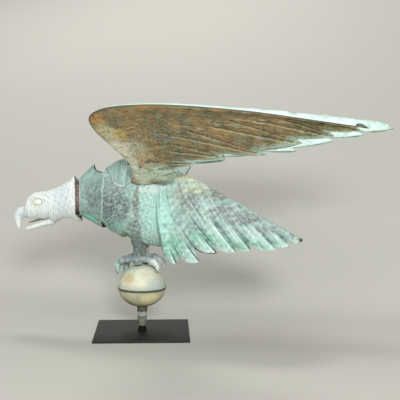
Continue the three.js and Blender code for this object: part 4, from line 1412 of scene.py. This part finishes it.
# ---- Setting --------------------------------------------------------------------------------------
def sweep():
    """A floor of paper that rises behind the vane in a long gentle slope."""
    front, bend_start, bend, slope, back = -9.0, 0.3, 0.5, math.radians(23), 4.2
    half = 7.0
    steps = 16
    profile = [(front, 0.0), (bend_start, 0.0)]
    for i in range(1, steps + 1):
        a = slope * i / steps
        profile.append((bend_start + bend * math.sin(a), bend * (1 - math.cos(a))))
    bend_end, bend_top = profile[-1]
    profile.append((back, bend_top + (back - bend_end) * math.tan(slope)))
    points = np.array([[x, y, z] for y, z in profile for x in (-half, half)]) / MM
    faces = [[2 * i, 2 * i + 1, 2 * i + 3, 2 * i + 2] for i in range(len(profile) - 1)]
    floor = build("sweep", points, faces, {})
    paint = Paint("sweep_paper", roughness=0.95, specular=0.1)
    colour = paint.blend(paint.noise(700, 1.0, 2), "#bfbeb5", "#c3c2b9")
    floor.data.materials.append(paint.colour(colour))


def area_light(name, location, target, size, power):
    light = bpy.data.lights.new(name, "AREA")
    light.shape = "DISK"
    light.size = size
    light.energy = power
    lamp = bpy.data.objects.new(name, light)
    lamp.location = location
    aim(lamp, target)
    bpy.context.scene.collection.objects.link(lamp)


def aim(thing, target):
    direction = Vector(target) - Vector(thing.location)
    thing.rotation_euler = direction.to_track_quat("-Z", "Y").to_euler()


def lighting():
    surroundings = 0.41  # strength of the even light from all sides
    area_light("key", (0.0, -1.3, 2.2), (0.1, 0.0, 0.3), 1.6, 8)
    area_light("front", (1.45, -3.0, 1.4), (0.1, 0.0, 0.5), 0.7, 98)
    area_light("backdrop", (-1.1, 2.0, 4.0), (-1.1, 3.4, 0.2), 1.6, 80)
    world = bpy.data.worlds.new("studio")
    world.use_nodes = True
    world.node_tree.nodes["Background"].inputs["Color"].default_value = (1.0, 0.99, 0.98, 1)
    world.node_tree.nodes["Background"].inputs["Strength"].default_value = surroundings
    bpy.context.scene.world = world
    bpy.context.scene.view_settings.view_transform = "Standard"


def camera():
    """A long lens at the height of the wings, turned to look along the eagle's near side."""
    yaw = math.radians(-17.906)
    pitch = math.radians(-5.40)
    lens = bpy.data.cameras.new("camera")
    lens.lens = 83.07
    lens.sensor_width = 36
    view = bpy.data.objects.new("camera", lens)
    view.location = (0.8415, -2.1315, 0.550)
    forward = (math.sin(yaw) * math.cos(pitch), math.cos(yaw) * math.cos(pitch), math.sin(pitch))
    aim(view, [view.location[k] + forward[k] for k in range(3)])
    bpy.context.scene.collection.objects.link(view)
    bpy.context.scene.camera = view


# ---- Making it ------------------------------------------------------------------------------------
def carried_nodes(copper, steel):
    """The CAD pieces inside the vane keep their shapes and get their finishes."""
    inner = ["tube_cap", "neck_sleeve", "saddle_lower", "saddle_upper"]
    inner += [f"wing_{part}_{name}" for part in ("spar", "socket", "pin") for name, _ in SIDES]
    for node in inner:
        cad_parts[node].data.materials.clear()
        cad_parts[node].data.materials.append(copper)
    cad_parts["thrust_ball"].data.materials.clear()
    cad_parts["thrust_ball"].data.materials.append(steel)


def make():
    camera()
    lighting()
    sweep()
    black = black_steel_paint()
    dark = dark_patina_paint()
    zinc = zinc_paint()
    base_plate(black)
    spindle_rod(rod_paint())
    tube_pieces(
        tube_paint("patina_tube", "#6f7262", "#8a8d7c", "#3b3d33"),
        tube_paint("patina_band", "#8d9c94", "#a3afa8", "#5b6a62"),
        tube_paint("patina_neck", "#4a4a3a", "#5f5c48", "#2f2e25"),
    )
    ball(ball_top_paint(), ball_bottom_paint())
    foot_disc(dark)
    body, cap = body_paint(), cap_paint()
    top, under = wing_top_paint(), wing_under_paint()
    for name, side in SIDES:
        body_half(name, side, body)
        tail_half(name, side, body)
        leg(name, side, dark)
        foot(name, side, dark)
        shoulder_cap(name, side, cap)
        wing_skin("wing_top", name, side, 1, "wing_upper", "verdigris", top)
        wing_skin("wing_under", name, side, -1, "wing_lower", "brown_copper", under)
    neck_collar(collar_paint())
    head_casting(zinc)
    lower_beak(zinc)
    tongue(tongue_paint())
    carried_nodes(bare_copper_paint(), bright_steel_paint())


make()
